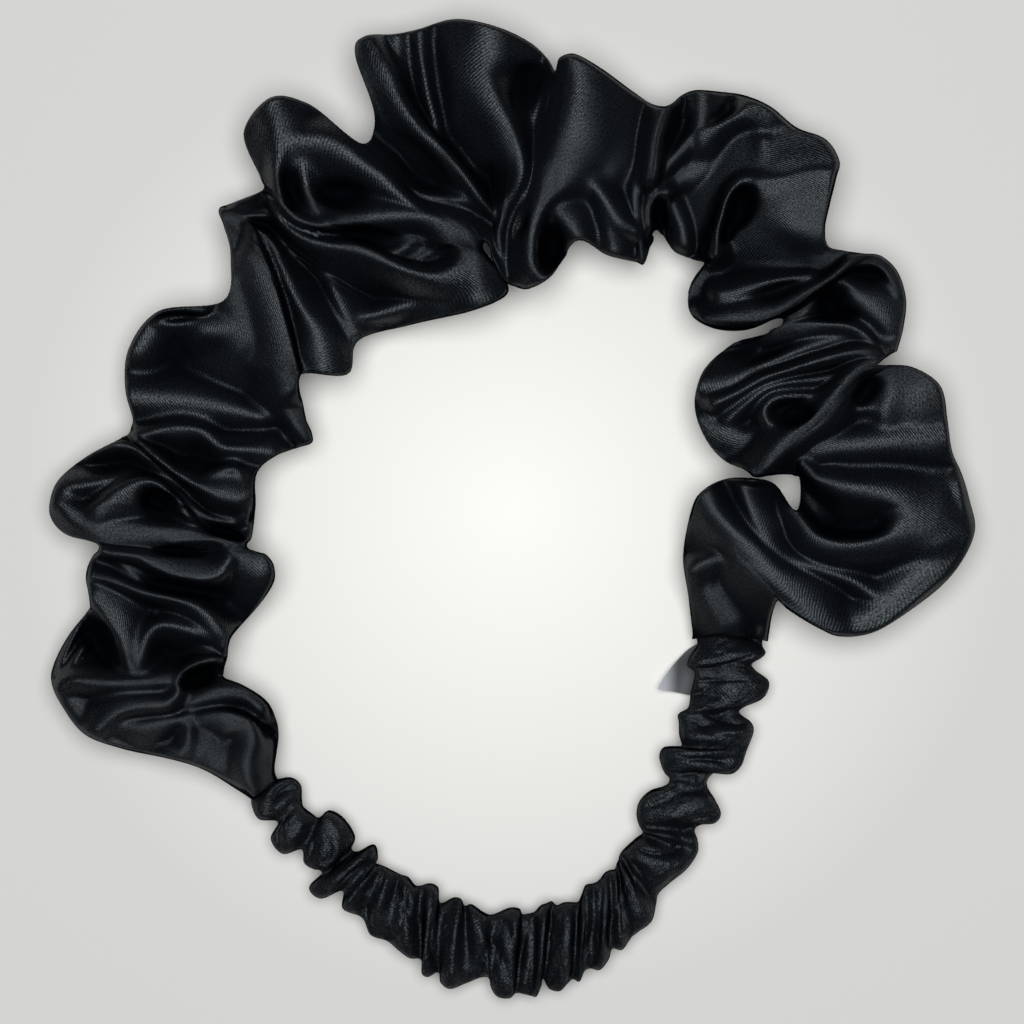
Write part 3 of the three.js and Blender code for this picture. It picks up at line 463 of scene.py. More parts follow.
RIDGES_OF_THE_POUCH = [
    [(-51.3, 87, 17.5, 6, 5), (-50.2, 82, 19, 7, 4), (-49.9, 77, 19.5, 4, 3),
     (-50.4, 73, 20, 2.5, 2.2),
     (-50.4, 69, 20, 2.2, 1.8), (-49.3, 65.8, 19.5, 2.2, 1.6), (-47, 62.9, 19, 2.4, 1.6),
     (-44, 61.3, 19, 2.6, 1.6),
     (-40.5, 61, 19, 3, 1.5), (-36, 62.1, 19, 4, 2.6), (-30, 62.8, 19.5, 4.4, 3.2),
     (-24, 63.1, 20, 4.4, 3.5),
     (-18, 62.8, 20, 3, 4), (-13, 60.3, 20, 4, 5), (-9.5, 56.5, 19.5, 4, 6),
     (-8.3, 51.5, 18.5, 6, 7), (-7.5, 46.5, 15, 6, 6)],
    [(-49.5, 80, 18.5, 4, 6), (-45, 79.8, 19, 4, 6), (-40, 79.1, 19.5, 4, 6),
     (-36, 77.3, 20, 3.5, 6),
     (-32, 74.5, 20, 3, 5), (-28, 71.3, 20, 3, 4.5), (-25, 68.6, 19.5, 2.5, 4),
     (-22, 66, 19, 2.2, 3), (-19.5, 64, 19, 2, 2)],
    [(-45.5, 78, 18.5, 4, 4), (-44.9, 73.5, 18, 3.5, 3), (-44.3, 69.5, 17.5, 3, 2.5),
     (-43.1, 66, 17.5, 3, 2.5), (-42, 62.7, 18, 3, 3)],
    [(-47.5, 86.5, 13, 6, 6), (-42, 83, 14, 6, 6), (-36, 79.5, 13.5, 5, 5)],
    [(-55.8, 83, 11, 6, 6), (-55.8, 76, 11, 5, 6)],
    [(-53.3, 80, 13.5, 1.2, 1.5), (-52.8, 76, 14, 1.2, 1.3), (-52.2, 71.5, 13.5, 1.2, 1.2)],
    [(-51.4, 66.5, 14, 1.1, 1.4), (-50.4, 63.3, 15, 1.1, 1.4), (-47.5, 60.4, 16, 1.1, 2),
     (-44, 58.5, 17, 1.2, 3),
     (-39.5, 57.4, 18, 1.2, 4), (-35, 56.8, 18.5, 1.4, 4), (-31, 55.6, 19, 1.4, 4),
     (-27, 53.8, 19, 1.4, 3.5),
     (-23, 52.1, 19, 1.4, 3.5), (-19, 51.1, 18.5, 1.4, 4), (-15.5, 51.2, 18.5, 1.4, 6),
     (-12.6, 52.6, 19, 1.4, 7),
     (-11.2, 55.3, 19.5, 1.6, 7)],
    [(-27.5, 54.5, 14.5, 2, 3), (-23.5, 56.5, 15.5, 2.4, 3), (-20.6, 59.2, 16.5, 3, 3),
     (-19.5, 61.5, 17, 3, 3)],
    [(-20.5, 53.6, 14.5, 1.8, 2.2), (-17.5, 55.9, 15.3, 2, 2.2), (-15.3, 58.2, 16, 2.5, 2.2)],
    [(-14, 48, 16, 8, 8), (-7, 46.5, 15, 8, 8)],
    [(-39.3, 48.5, 13.5, 3, 1.6), (-37.3, 43.5, 14, 5, 1.6), (-35, 38.5, 12, 5, 1.5)],
    [(-35, 41.2, 12, 3.4, 3), (-29, 42, 12, 2.6, 2.6), (-20, 44.8, 13, 4, 4)],
    [(-55, 66.5, 10, 5, 6), (-58, 65.3, 10, 4, 4)],
]

RIDGES_OF_THE_LEFT_PANEL = [
    [(-62, 63.5, 15, 4, 6), (-59, 62.6, 15.5, 3, 6), (-55.5, 62.9, 15, 1.6, 2),
     (-52.6, 63.2, 14.5, 1.3, 1.4)],
    [(-59, 61, 15.5, 6, 7), (-59, 56, 15.5, 6, 7), (-59.3, 51, 15, 7, 7)],
    [(-55.3, 59.5, 16, 1.2, 3), (-54, 55.5, 18, 1.2, 6), (-52.2, 51, 19, 1.2, 7),
     (-50.6, 46, 19.3, 1.2, 7),
     (-49.2, 41, 19.3, 1.2, 7), (-48, 36.5, 19, 1.2, 7), (-46.9, 32, 18, 1.2, 7),
     (-46.5, 27.5, 15.5, 2.4, 6)],
    [(-57.5, 48, 16, 8, 8), (-57, 43, 16.5, 7, 8), (-56, 38, 16, 7, 8)],
    [(-49, 27, 14.5, 5, 5), (-47.5, 22, 14, 4, 4.5), (-45.5, 17.5, 12.5, 3, 3.5),
     (-43.8, 14.6, 10, 3, 3)],
    [(-53.6, 59.3, 15, 1.4, 1.4), (-51.5, 56.5, 16, 1.8, 1.4), (-49.8, 52.5, 16.5, 2.5, 1.6),
     (-48, 48.5, 17, 3, 2),
     (-46, 44.5, 17, 3.5, 2.4), (-43.8, 41, 17, 4, 4), (-42.3, 38, 16.5, 5, 5),
     (-41.5, 34.5, 16, 6, 6),
     (-41, 31.5, 15, 6, 6)],
    [(-41.3, 40.3, 13, 1.1, 1.5), (-38.5, 37, 13, 1.1, 2), (-36.5, 34, 12.5, 1.1, 2.5),
     (-35.1, 31, 11, 1.2, 2.5)],
    [(-77.3, 41.2, 14, 1.3, 3), (-74, 40.1, 14.5, 1.2, 3), (-70, 40.1, 14.5, 1.2, 3),
     (-66.7, 41.2, 14.5, 1.2, 3.5), (-64.5, 42.5, 14, 1.2, 4)],
    [(-77, 42.3, 17, 3.6, 1.4), (-71, 43, 17.2, 3.6, 1.4), (-66.8, 42.7, 16.5, 3.6, 1.4)],
    [(-78, 38, 13.5, 5, 5), (-80.3, 34.5, 13.5, 5, 5)],
    [(-66, 38.5, 14.5, 5, 4), (-60, 39, 16, 7, 6)],
    [(-81.5, 24.3, 13.5, 5, 5), (-76, 24, 12.8, 4.8, 5.6), (-70, 23.4, 12.8, 4.8, 5.6),
     (-64, 22.4, 13, 4.5, 5), (-58, 20.9, 12.6, 3.5, 4), (-54, 19.8, 12, 3, 3)],
    [(-79.7, 15.8, 14, 2.5, 3), (-76, 17, 15, 2, 3), (-71, 17.6, 15.5, 2, 4),
     (-67, 16.8, 15.5, 2, 3),
     (-64.5, 15, 15, 2.2, 2.5), (-62, 13.4, 14.5, 2.5, 3), (-57, 12.9, 14, 3, 3.5),
     (-52.5, 12.3, 12, 4, 4)],
    [(-43.5, 20.5, 9, 2, 1.2), (-43.2, 18, 9, 2, 2)],
]

RIDGES_OF_THE_UPPER_LEFT_FAN = [
    [(-80.3, 14.6, 14, 1.5, 1.2), (-77, 11.5, 16, 2, 1.2), (-74, 9, 17, 2, 1.2),
     (-71, 6.9, 17.5, 2.5, 1.3), (-67.5, 5, 18, 3, 1.6),
     (-63, 3, 18, 6, 3), (-59.5, 2, 17, 6, 3)],
    [(-67, 6.4, 16.5, 1.5, 4), (-63.3, 8.2, 17, 1.4, 4), (-60, 8.9, 16.5, 1.4, 4),
     (-57.8, 7, 15, 1.4, 3), (-57.3, 3, 14.5, 1.4, 4), (-57.2, -1, 13, 1.4, 4)],
    [(-90, 12.3, 12, 3, 2.5), (-86, 13.5, 13.5, 2.5, 2.5), (-82, 13.1, 14.5, 2, 2),
     (-78.5, 10.9, 15, 1.6, 1.8), (-75, 7.5, 15, 1.5, 1.8),
     (-72, 3.9, 15, 1.5, 1.8), (-69, 0.7, 14.5, 1.5, 1.8), (-66, -1.6, 14, 1.6, 1.8),
     (-62, -2.6, 13.5, 2, 1.5), (-58, -3.3, 13, 2, 1)],
    [(-96.7, 3, 13, 3, 3), (-94.5, 4.6, 14.5, 3, 3), (-90, 5.3, 15, 3, 3), (-86, 6.4, 15, 2, 2),
     (-82, 7.8, 14, 1.5, 1.2)],
    [(-89, 0.7, 16, 2, 6), (-85, 3.6, 17, 2, 7), (-82, 5.3, 17.5, 1.8, 7), (-79, 6, 18, 1.6, 4),
     (-76, 5.3, 18, 1.6, 1.8),
     (-73.5, 3, 17.5, 1.6, 1.6), (-71.3, 0.3, 16.5, 1.6, 1.6), (-69, -2.3, 15, 1.6, 1.6)],
    [(-96.7, 1, 14, 4, 3), (-93.5, -1.7, 15, 4, 4), (-88, -3.6, 15.5, 5, 6),
     (-82, -4.3, 16, 4.2, 6), (-76, -4.7, 16.3, 2.8, 5),
     (-70, -5.2, 16, 3, 4), (-65, -6.2, 16, 2, 3)],
    [(-73, -7.2, 16, 3, 1.2), (-66, -6.5, 16.5, 2, 1.5), (-62, -6.9, 16.5, 2, 2.5),
     (-59.8, -8.8, 16, 3, 3)],
]

RIDGES_OF_THE_MIDDLE_LEFT_LOBES = [
    [(-61, -9, 16.5, 3, 3), (-57.3, -10, 16.5, 6, 7), (-54.5, -11.8, 15.5, 5, 7)],
    [(-88, -9, 14, 2.5, 2), (-86, -9.5, 15, 2.5, 2), (-80, -10.7, 16, 3, 2),
     (-75, -13, 16.5, 5, 2), (-71, -14.6, 17.5, 6, 2),
     (-66, -15.1, 18, 6, 2), (-62.4, -13.7, 18, 5, 2), (-60.9, -11.3, 17.5, 3.5, 2)],
    [(-90, -14.5, 14, 3, 2), (-86, -15.6, 15.5, 2.5, 2), (-82, -17.1, 16.5, 2.2, 1.8),
     (-78, -18.5, 17.5, 2.2, 1.8),
     (-73, -19.6, 17.5, 2.2, 2.2), (-69, -20.8, 17.5, 2.4, 3), (-65.5, -23, 17, 2.5, 4),
     (-63, -26.5, 16, 3, 4), (-62, -29, 14, 3, 3)],
    [(-85, -11, 14.5, 2, 2), (-82.5, -13, 15, 2, 1.8), (-80, -15.5, 15, 1.8, 1.6),
     (-78.5, -17.2, 15, 1.4, 1.4)],
    [(-88.5, -10.5, 13, 3, 4), (-90, -13, 12.5, 3, 3)],
    [(-89.5, -19.5, 15.5, 6, 2), (-87.3, -22.5, 16, 7, 2), (-84.8, -27, 16.5, 6, 2),
     (-83, -31, 16.5, 4, 2), (-82.3, -34, 15, 3, 2)],
    [(-62.3, -29.5, 13.5, 3, 3), (-65, -27.4, 15.5, 3, 3), (-69.5, -25.7, 16.5, 3.5, 2.2),
     (-74, -24.7, 16.5, 3.5, 2.2),
     (-77.2, -25.6, 16.5, 3, 2.2), (-78.9, -28.5, 16, 2.5, 2.5), (-79.8, -32, 15.5, 2.5, 2.5),
     (-80.3, -34.6, 14, 2.5, 2.5)],
    [(-65.5, -31.7, 15.5, 4, 3), (-61.8, -32, 14, 4, 3)],
]

RIDGES_OF_THE_LOWER_LEFT_LOBE = [
    [(-92.5, -24, 9, 1.5, 1.2), (-94.6, -28, 11, 1.5, 1.2), (-96.2, -32, 11, 1.5, 1.5),
     (-97.2, -36, 10, 1.5, 1.5)],
    [(-92, -30, 12, 1.2, 1.3), (-94.5, -33.5, 13, 1.2, 1.3), (-96.3, -37, 12, 1.2, 1.3)],
    [(-97.3, -38.7, 11, 2, 3), (-94, -37.1, 14, 3, 3), (-88, -37.5, 16, 3, 3),
     (-82, -37.4, 16.5, 3, 3), (-76, -36.9, 16, 3, 3), (-72.7, -36.5, 16, 3, 3)],
    [(-94, -41.5, 12.5, 5, 5), (-91, -45, 13, 6, 6), (-86, -49, 13, 8, 8)],
    [(-88.5, -47, 13, 4, 3), (-87, -45.7, 14, 5, 3), (-83.5, -43.4, 16, 5, 2.5),
     (-79, -42.4, 17, 4, 2.5), (-74, -41.8, 17, 3, 2.5), (-71.9, -39.8, 16.5, 3, 2)],
    [(-84, -46.2, 13.5, 1.5, 4), (-79, -46.1, 15, 1.5, 5), (-74, -45.3, 15.5, 1.5, 4),
     (-70.5, -44.9, 15.5, 1.5, 2)],
    [(-84, -48.5, 12, 6, 6), (-76, -49, 12.5, 6, 6)],
    [(-70, -45, 15.5, 3, 2), (-69.6, -48.5, 15, 3, 2.5), (-71, -52, 12, 4, 3),
     (-74, -52.3, 10, 3, 3)],
    [(-71.5, -40, 16.5, 1.6, 1.1), (-71.7, -37.3, 17, 1.6, 1.1), (-70.5, -34.9, 17.5, 1.6, 1.1),
     (-67.5, -33.3, 17.5, 2, 1.1),
     (-64, -32.6, 16.5, 2, 1.2), (-61.7, -33.2, 14, 2, 1.4)],
    [(-69, -41.3, 14.5, 3, 4), (-64, -39.7, 15, 3, 4), (-58, -40, 13, 3, 3),
     (-54, -43, 10.5, 2.5, 2.5)],
    [(-66, -44, 14, 1.1, 5), (-62, -43.7, 16, 1.1, 7), (-58.5, -44.7, 16.5, 1.1, 7),
     (-56, -46.7, 16.5, 1.6, 6), (-55.7, -50, 15.5, 3, 5),
     (-56.7, -54, 14, 4, 5), (-56, -58, 12, 4, 4), (-54.7, -61, 9, 3, 3)],
    [(-66, -48, 14, 9, 9), (-63, -52, 13, 8, 8)],
]

# The deep hollows between the folds: x, y, half length, half width, direction of the length
# in degrees from +X, and depth below the cloth around it.
HOLLOWS = [
    (49.5, 64.7, 5.2, 2.4, 72, 9),
    (46.7, 59.6, 3.2, 1.2, 65, 5),
    (76.3, 25.3, 3.8, 2.1, 50, 4),
    (61.2, 20.2, 4.2, 2.1, 20, 6),
    (68.2, 43.6, 3.6, 2.2, 110, 6),
    (71.6, 42.1, 2.6, 1.1, -15, 4),
    (57, 46.8, 6, 1.7, 18, 2.2),
    (59, 51, 7, 1.2, 5, 1),
    (45.5, 84.6, 3.4, 0.9, 30, 2.5),
    (31.9, 63.3, 3.2, 1.5, 100, 4),
    (8.3, 56, 5.6, 2.5, 80, 7),
    (2, 61, 3.5, 1.2, 62, 3),
    (3, 91, 6, 3.4, 65, 1.4),
    (-47.2, 68.5, 5, 1.6, 97, 5),
    (-36.5, 67.6, 5.5, 3.2, 0, 5),
    (-31.5, 59.2, 6.5, 1.5, -3, 5),
    (-14.8, 54.8, 2.8, 1.6, 40, 2.5),
    (-53.5, 61, 3.2, 1, -15, 2.5),
    (-71.8, 41.5, 4, 0.6, 0, 1.5),
    (-21, 75.5, 10, 4, -42, 1.6),
    (-15.6, 92, 11, 2.2, 98, 2.2),
    (55, 33.6, 6, 1.2, 22, 2),
    (76.5, 50, 3.4, 1.3, -8, 1.5),
    (-43.5, 22.9, 1.6, 0.9, -45, 3),
    (-75.5, 1.8, 4.3, 2.2, -20, 5),
    (-61.5, -5.2, 4.8, 1.2, -14, 5),
    (-71.5, -9.1, 6.5, 1, -3, 4),
    (-71, -17, 9, 1.7, -8, 4),
    (-88, -29, 5.5, 2.8, 105, 3.5),
    (-67.3, -36.4, 4.2, 1.9, 20, 6),
]

FOLDS = (
    STEM_ABOVE_THE_RIGHT_JOIN + LOWER_RIGHT_LOBE + UPPER_RIGHT_LOBE + INNER_RIGHT_LOBE
    + SHOULDER_LOBES + SHOULDER_PANEL + TALL_PANEL + TOP_FAN + UPPER_LEFT_POUCH + LONG_FLAP
    + LEFT_PANEL + UPPER_LEFT_FAN + LOWER_LEFT_LOBE
)
PLEATS = CASING_AT_THE_LEFT + CASING_AT_THE_NAPE + CASING_AT_THE_RIGHT + CASING_OVER_THE_LABEL

RIDGES = (
    RIDGES_BY_THE_RIGHT_JOIN + RIDGES_OF_THE_LARGE_LOBE + RIDGES_OF_THE_INNER_RIGHT_LOBE
    + RIDGES_OF_THE_SHOULDER + RIDGES_OF_THE_TALL_PANEL + RIDGES_OF_THE_TOP_FAN
    + RIDGES_OF_THE_POUCH + RIDGES_OF_THE_LEFT_PANEL + RIDGES_OF_THE_UPPER_LEFT_FAN
    + RIDGES_OF_THE_MIDDLE_LEFT_LOBES + RIDGES_OF_THE_LOWER_LEFT_LOBE
)

# How finely each tube is made: stations along it, and steps across its upper and lower layer
RUFFLE_GRID = {"stations": 900, "upper": 64, "lower": 16}
CASING_GRID = {"stations": 700, "upper": 22, "lower": 14}
COARSER = 2                 # the inside of each tube has one vertex for this many outside
PLACES_TRIED = 4000         # places along a tube at which to measure how fast its folds move

# How the ruffle's upper layer hangs from its ridges
RIDGE_FALL = 3.1            # how far the cloth falls in about one width of the ridge
RIDGE_REACH = 5             # a ridge holds the cloth up no further than this many of its widths
RIDGE_ROUND = 0.8           # the share of its width over which a ridge is round
RIDGE_KEEPS = 0.35          # how much of a ridge's rise and fall along its own length is kept
RIDGE_SAMPLES = 0.8         # from one sample of a ridge's line to the next
LEAST_WIDTH = 0.5
CREASE = 0.15               # how round the bottom of a valley is
VALLEY_FLOOR = 2.5          # the upper layer comes no lower than this
SOFTNESS = 1                # passes of blurring over the folds

# The ruffle's outline and its lower layer
EDGE_TURN = 1               # the width over which the tube turns over at its outline
EDGE_DROP = 1.6             # how far it falls in turning over
EDGE_RISES_OVER = 12        # from each mouth to where the outline has left the charted height
UNDER_REACH = 1.06          # past 1, so that the middle of the lower layer lies flat on the floor
UNDER_CUT = 0.8             # how roundly the lower layer goes in and down from the outline

# The casing. A wave is its size, its length along the tube, its slant across it and its start.
CASING_MIDDLE = 5.25        # the height of its edges, halfway between its two layers
CASING_MIDDLE_IN_MOUTH = 4.0
ROWS_TO_RISE = 3            # pleats from one height to the other
CASING_ROUND = 0.7          # the less, the boxier its section
SMALL_PLEAT = 5.6           # from one small pleat to the next
SMALL_PLEAT_DEPTH = 1.6
SMALL_PLEAT_CUT = 0.45      # the less, the sharper the valleys between the pleats
PLEATS_BEND = [(3.4, 8.7, 2.6, 0), (1.7, 3.7, -4.1, 1), (1.5, 13, 0, 0.5)]
PLEATS_CROSS = [(1, 2.9, 5, 0)], [(1, 5.3, -3, 2)]
MEAN_PLEAT, PLEAT_VARIES = 0.55, 0.45
BETWEEN_TUCKS = 9.5         # from one deep crease to the next
TUCK_CUT = 0.8
TUCKS_BEND = [(3.5, 17, 2.2, 0), (2.2, 6, 3.1, 0)]
MEAN_TUCK, TUCKS_VARY = 0.7, [(0.5, 4.1, 4.4, 0)]

# Where the cloth counts as hollow, and so gets painted shade: a darker colour and no gloss
AROUND = 60                 # passes of blurring that tell a fold from the cloth around it
RIDGE_STANDS = -0.5         # measured downwards, so a ridge stands above what is around it
HOLLOW_DEPTH = 4.2          # from a ridge down to where the painted shade is full
# How far up the cloth faces, as its normal's z, where its painted shade starts and where it is full
PAINTED_SHADE_STARTS, PAINTED_SHADE_FULL = 0.6, 0.3

# Cloth
CLOTH_WALL = 0.6
WALL_SOFTNESS = 2           # passes of blurring over the directions in which the wall is thick
SIM_SCALE = 0.01            # millimetres to simulated metres: ten times life size
SIM_STEP = 2                # the simulation has every second station
RUFFLE_CLOTH = {"growth": 0.03, "hold": 0.2, "frames": 10, "most": 0.7}
CASING_CLOTH = {"growth": 0.06, "hold": 0.1, "frames": 10, "most": 0.8}
CLOTH_SETTINGS = {
    "vertex_group_mass": "pins", "pin_stiffness": 1, "quality": 5, "mass": 0.15,
    "tension_stiffness": 12, "compression_stiffness": 12, "shear_stiffness": 6,
    "bending_stiffness": 0.2,
}
EASED_OUT = 6               # passes of blurring over the wrinkles

# Care label
LABEL_THICKNESS = 1.0       # two layers of tape, folded together
LABEL_ROUND = 0.35          # share of the width over which its free edge curls up
LABEL_GRID = 70, 50

# Finishes. Heights are in metres: the satin's painted shade, on its colour and its gloss, lifts
# between deep and high.
RUFFLE_SATIN = {"deep": 0.002, "high": 0.012, "crinkle": 0.00003, "roughness": 0.43}
CASING_SATIN = {"deep": 0.001, "high": 0.008, "crinkle": 0.0006, "roughness": 0.5}
# The satin's colour in full painted shade, and where it is lit
SATIN_IN_SHADE_AND_LIT = (0.0012, 0.0018, 0.0030, 1), (0.0020, 0.0028, 0.0040, 1)
SATIN_TINT = (0.80, 0.92, 1.0, 1)
TAPE_SHADE = (0.46, 0.48, 0.52, 1), (0.62, 0.65, 0.70, 1)
# The tape's colour in the painted shadow of the casing, and along X where that shadow starts and
# where it is full
TAPE_PAINTED_SHADOW = (0.045, 0.05, 0.056, 1)
TAPE_SHADOW_FROM, TAPE_SHADOW_TO = 0.0318, 0.0365       # X, from bare tape to its painted shadow under the casing
ELASTIC_SHADE = (0.008, 0.008, 0.009, 1), (0.03, 0.03, 0.032, 1)
# The floor's colour in the middle of its painted pool of light, and at its dim edges
FLOOR_PAINTED_LIGHT = (0.93, 0.93, 0.89, 1), (0.64, 0.64, 0.63, 1)
MIX_SHARE, MIX_FIRST, MIX_SECOND, MIXED = 0, 6, 7, 2    # a mix node's sockets when it mixes colours
FLOOR_LIT_TO = 0.108        # how far from the origin the floor's painted pool of light reaches
FLOOR_SIZE = 3.0
FLOOR_BELOW = 0.0002


# Curves and grids

def far_along(steps):
    """How far along a line each of its points is, from the steps between them."""
    return np.concatenate([[0], np.cumsum(steps)])


def hermite(w, start, end, leaving, arriving):
    """A smooth curve at the shares w of its way, from its two ends and its slopes there."""
    return (
        (2 * w**3 - 3 * w**2 + 1) * start + (w**3 - 2 * w**2 + w) * leaving
        + (3 * w**2 - 2 * w**3) * end + (w**3 - w**2) * arriving
    )


def knots_of(rows):
    """A value along the tube for each row: the root of the mean distance between rows adds up."""
    steps = np.linalg.norm(np.diff(rows, axis=0), axis=2).mean(axis=1)
    return far_along(np.sqrt(steps))


def between_rows(rows, knots, where):
    """Rows at any values along the tube, on a smooth curve through the charted ones."""
    flat = rows.reshape(len(rows), -1)
    gaps = np.diff(knots)
    slopes = np.diff(flat, axis=0) / gaps[:, None]
    tangents = np.empty_like(flat)
    tangents[0], tangents[-1] = slopes[0], slopes[-1]
    before, after = gaps[:-1, None], gaps[1:, None]
    tangents[1:-1] = (slopes[:-1] * after + slopes[1:] * before) / (before + after)
    i = np.clip(np.searchsorted(knots, where, side="right") - 1, 0, len(knots) - 2)
    w = ((where - knots[i]) / gaps[i])[:, None]
    gap = gaps[i][:, None]
    made = hermite(w, flat[i], flat[i + 1], gap * tangents[i], gap * tangents[i + 1])
    return made.reshape(len(where), *rows.shape[1:])


def stations_along(rows, count):
    """The rows at count stations, closer where the folds move fastest."""
    knots = knots_of(rows)
    fine = np.linspace(0, knots[-1], PLACES_TRIED)
    moved = np.linalg.norm(np.diff(between_rows(rows, knots, fine), axis=0), axis=2).max(axis=1)
    travelled = far_along(moved)
    where = np.interp(np.linspace(0, travelled[-1], count), travelled, fine)
    return between_rows(rows, knots, where)


def shares_across(steps):
    """From 0 at one long edge to 1 at the other, closest together at the edges."""
    return (1 - np.cos(np.linspace(0, np.pi, steps + 1))) / 2


def bulge_at(shares):
    """How far the tube bulges between its edges: 0 on them, and 1 halfway."""
    return 2 * np.sqrt(np.clip(shares * (1 - shares), 0, None))


def eased(value, low, high):
    """From 0 at low to 1 at high, with a soft start and end."""
    share = np.clip((value - low) / (high - low), 0, 1)
    return share * share * (3 - 2 * share)


def blurred(grid, passes, wrap=True):
    """A grid with each value drawn towards its neighbours. Across it the grid may be a ring."""
    for _ in range(passes):
        padded = np.concatenate([grid[:1], grid, grid[-1:]])
        grid = (padded[:-2] + 2 * grid + padded[2:]) / 4
        before = grid[:, -1:] if wrap else grid[:, :1]
        after = grid[:, :1] if wrap else grid[:, -1:]
        padded = np.concatenate([before, grid, after], axis=1)
        grid = (padded[:, :-2] + 2 * grid + padded[:, 2:]) / 4
    return grid


def waved(waves, along, across):
    """The sum of some waves over a tube."""
    return sum(
        size * np.sin(along / length + slant * across + start)
        for size, length, slant, start in waves
    )


# Ruffle

def fold_curve(rows, shares):
    """Points at given shares of the way across each fold, through its three charted points."""
    weights = np.stack([
        (1 - shares) * (1 - 2 * shares),
        4 * shares * (1 - shares),
        shares * (2 * shares - 1),
    ], axis=1)
    return np.einsum("tc,scx->stx", weights, rows)


def spline(points, spacing):
    """Samples of a smooth curve through points, about spacing apart in x and y."""
    points = np.array(points, float)
    before = np.vstack([2 * points[0] - points[1], points[:-1]])
    after = np.vstack([points[1:], 2 * points[-1] - points[-2]])
    tangents = (after - before) / 2
    made = []
    for i, (start, end) in enumerate(zip(points[:-1], points[1:])):
        count = max(2, int(np.hypot(*(end - start)[:2]) / spacing))
        t = (np.arange(count) / count)[:, None]
        made.append(hermite(t, start, end, tangents[i], tangents[i + 1]))
    return np.vstack([*made, points[-1:]])


def fallen(share):
    """How far the cloth has fallen: round on the ridge, then straight down the slope."""
    straight = RIDGE_ROUND * (2 * share - RIDGE_ROUND)
    return RIDGE_FALL * np.where(share < RIDGE_ROUND, share**2, straight)


def below_ridge(ridge, x, y):
    """The cloth's height at x, y if this ridge alone held it up."""
    line = spline(ridge, RIDGE_SAMPLES)
    top = line[:, 2].max()
    line[:, 2] = top - RIDGE_KEEPS * (top - line[:, 2])
    heading = np.gradient(line[:, :2], axis=0)
    heading /= np.linalg.norm(heading, axis=1, keepdims=True)
    across_x, across_y = x[:, None] - line[:, 0], y[:, None] - line[:, 1]
    nearest = np.argmin(across_x**2 + across_y**2, axis=1)
    every = np.arange(len(x))
    dx, dy = across_x[every, nearest], across_y[every, nearest]
    distance = np.hypot(dx, dy)
    side = (heading[nearest, 0] * dy - heading[nearest, 1] * dx) / np.maximum(distance, 1e-6)
    leftness = eased(side, -1, 1)
    width = line[nearest, 4] + (line[nearest, 3] - line[nearest, 4]) * leftness
    return line[nearest, 2] - fallen(distance / np.maximum(width, LEAST_WIDTH))


def ridged(x, y):
    """The height of the ruffle's upper layer: it hangs from its ridges down to deep valleys."""
    height = np.full(x.shape, VALLEY_FLOOR)
    for ridge in RIDGES:
        line = np.array(ridge)
        reach = line[:, 3:].max() * RIDGE_REACH
        near = (
            (x > line[:, 0].min() - reach) & (x < line[:, 0].max() + reach)
            & (y > line[:, 1].min() - reach) & (y < line[:, 1].max() + reach)
        )
        held = below_ridge(ridge, x[near], y[near])
        height[near] = CREASE * np.logaddexp(height[near] / CREASE, held / CREASE)
    for centre_x, centre_y, half_length, half_width, degrees, depth in HOLLOWS:
        turn = math.radians(degrees)
        along = ((x - centre_x) * math.cos(turn) + (y - centre_y) * math.sin(turn)) / half_length
        across = ((y - centre_y) * math.cos(turn) - (x - centre_x) * math.sin(turn)) / half_width
        out = np.clip(along**2 + across**2, 0, 1)
        height -= depth * (1 - out**2) ** 2
    return np.maximum(height, VALLEY_FLOOR)


def seen_from_above(points, heights):
    """The charts say where the folds look to be; cloth nearer the camera is really further in."""
    points[..., :2] *= (1 - (heights - EDGE_HEIGHT / MM) / (CAMERA_ABOVE / MM))[..., None]
    return points


def ruffle_edges(rows):
    """The height of the outline, inner and outer: just under the upper layer beside it."""
    charted = rows[:, ::2, 2]
    beside = blurred(ridged(rows[:, ::2, 0], rows[:, ::2, 1]), SOFTNESS, wrap=False) - EDGE_DROP
    travelled = far_along(np.linalg.norm(np.diff(rows[:, 1], axis=0), axis=1))
    from_end = np.minimum(travelled, travelled[-1] - travelled)
    risen = eased(from_end, 0, EDGE_RISES_OVER)[:, None]
    return charted + np.maximum(beside - charted, 0) * risen


def ruffle_layer(rows, shares, upper):
    """The outer face of the upper or the lower layer."""
    points = fold_curve(rows, shares)
    edges = ruffle_edges(rows)
    edge = edges[:, :1] * (1 - shares) + edges[:, 1:] * shares
    if upper:
        width = np.linalg.norm(rows[:, 2] - rows[:, 0], axis=1)
        inside = np.minimum(shares, 1 - shares)[None, :] * width[:, None]
        turned = np.clip(inside / EDGE_TURN, 0, 1)
        height = blurred(ridged(points[..., 0], points[..., 1]), SOFTNESS, wrap=False)
        points[..., 2] = edge + (height - edge) * np.sqrt(1 - (1 - turned) ** 2)
        return seen_from_above(points, points[..., 2])
    dropped = np.minimum(UNDER_REACH * bulge_at(shares)**UNDER_CUT, 1)[None, :]
    points[..., 2] = edge * (1 - dropped)
    return seen_from_above(points, edge)


# Casing

def casing_rows():
    """Each pleat as three points: its two edges, and between them one with half its height as z."""
    table = np.array(PLEATS, float)
    from_end = np.minimum(np.arange(len(table)), np.arange(len(table))[::-1])
    risen = np.clip((from_end - 1) / ROWS_TO_RISE, 0, 1)
    height = CASING_MIDDLE_IN_MOUTH + (CASING_MIDDLE - CASING_MIDDLE_IN_MOUTH) * risen
    inner = np.column_stack([table[:, 0:2], height])
    outer = np.column_stack([table[:, 2:4], height])
    half = np.column_stack([(inner + outer)[:, :2] / 2, table[:, 4]])
    return np.stack([inner, half, outer], axis=1)


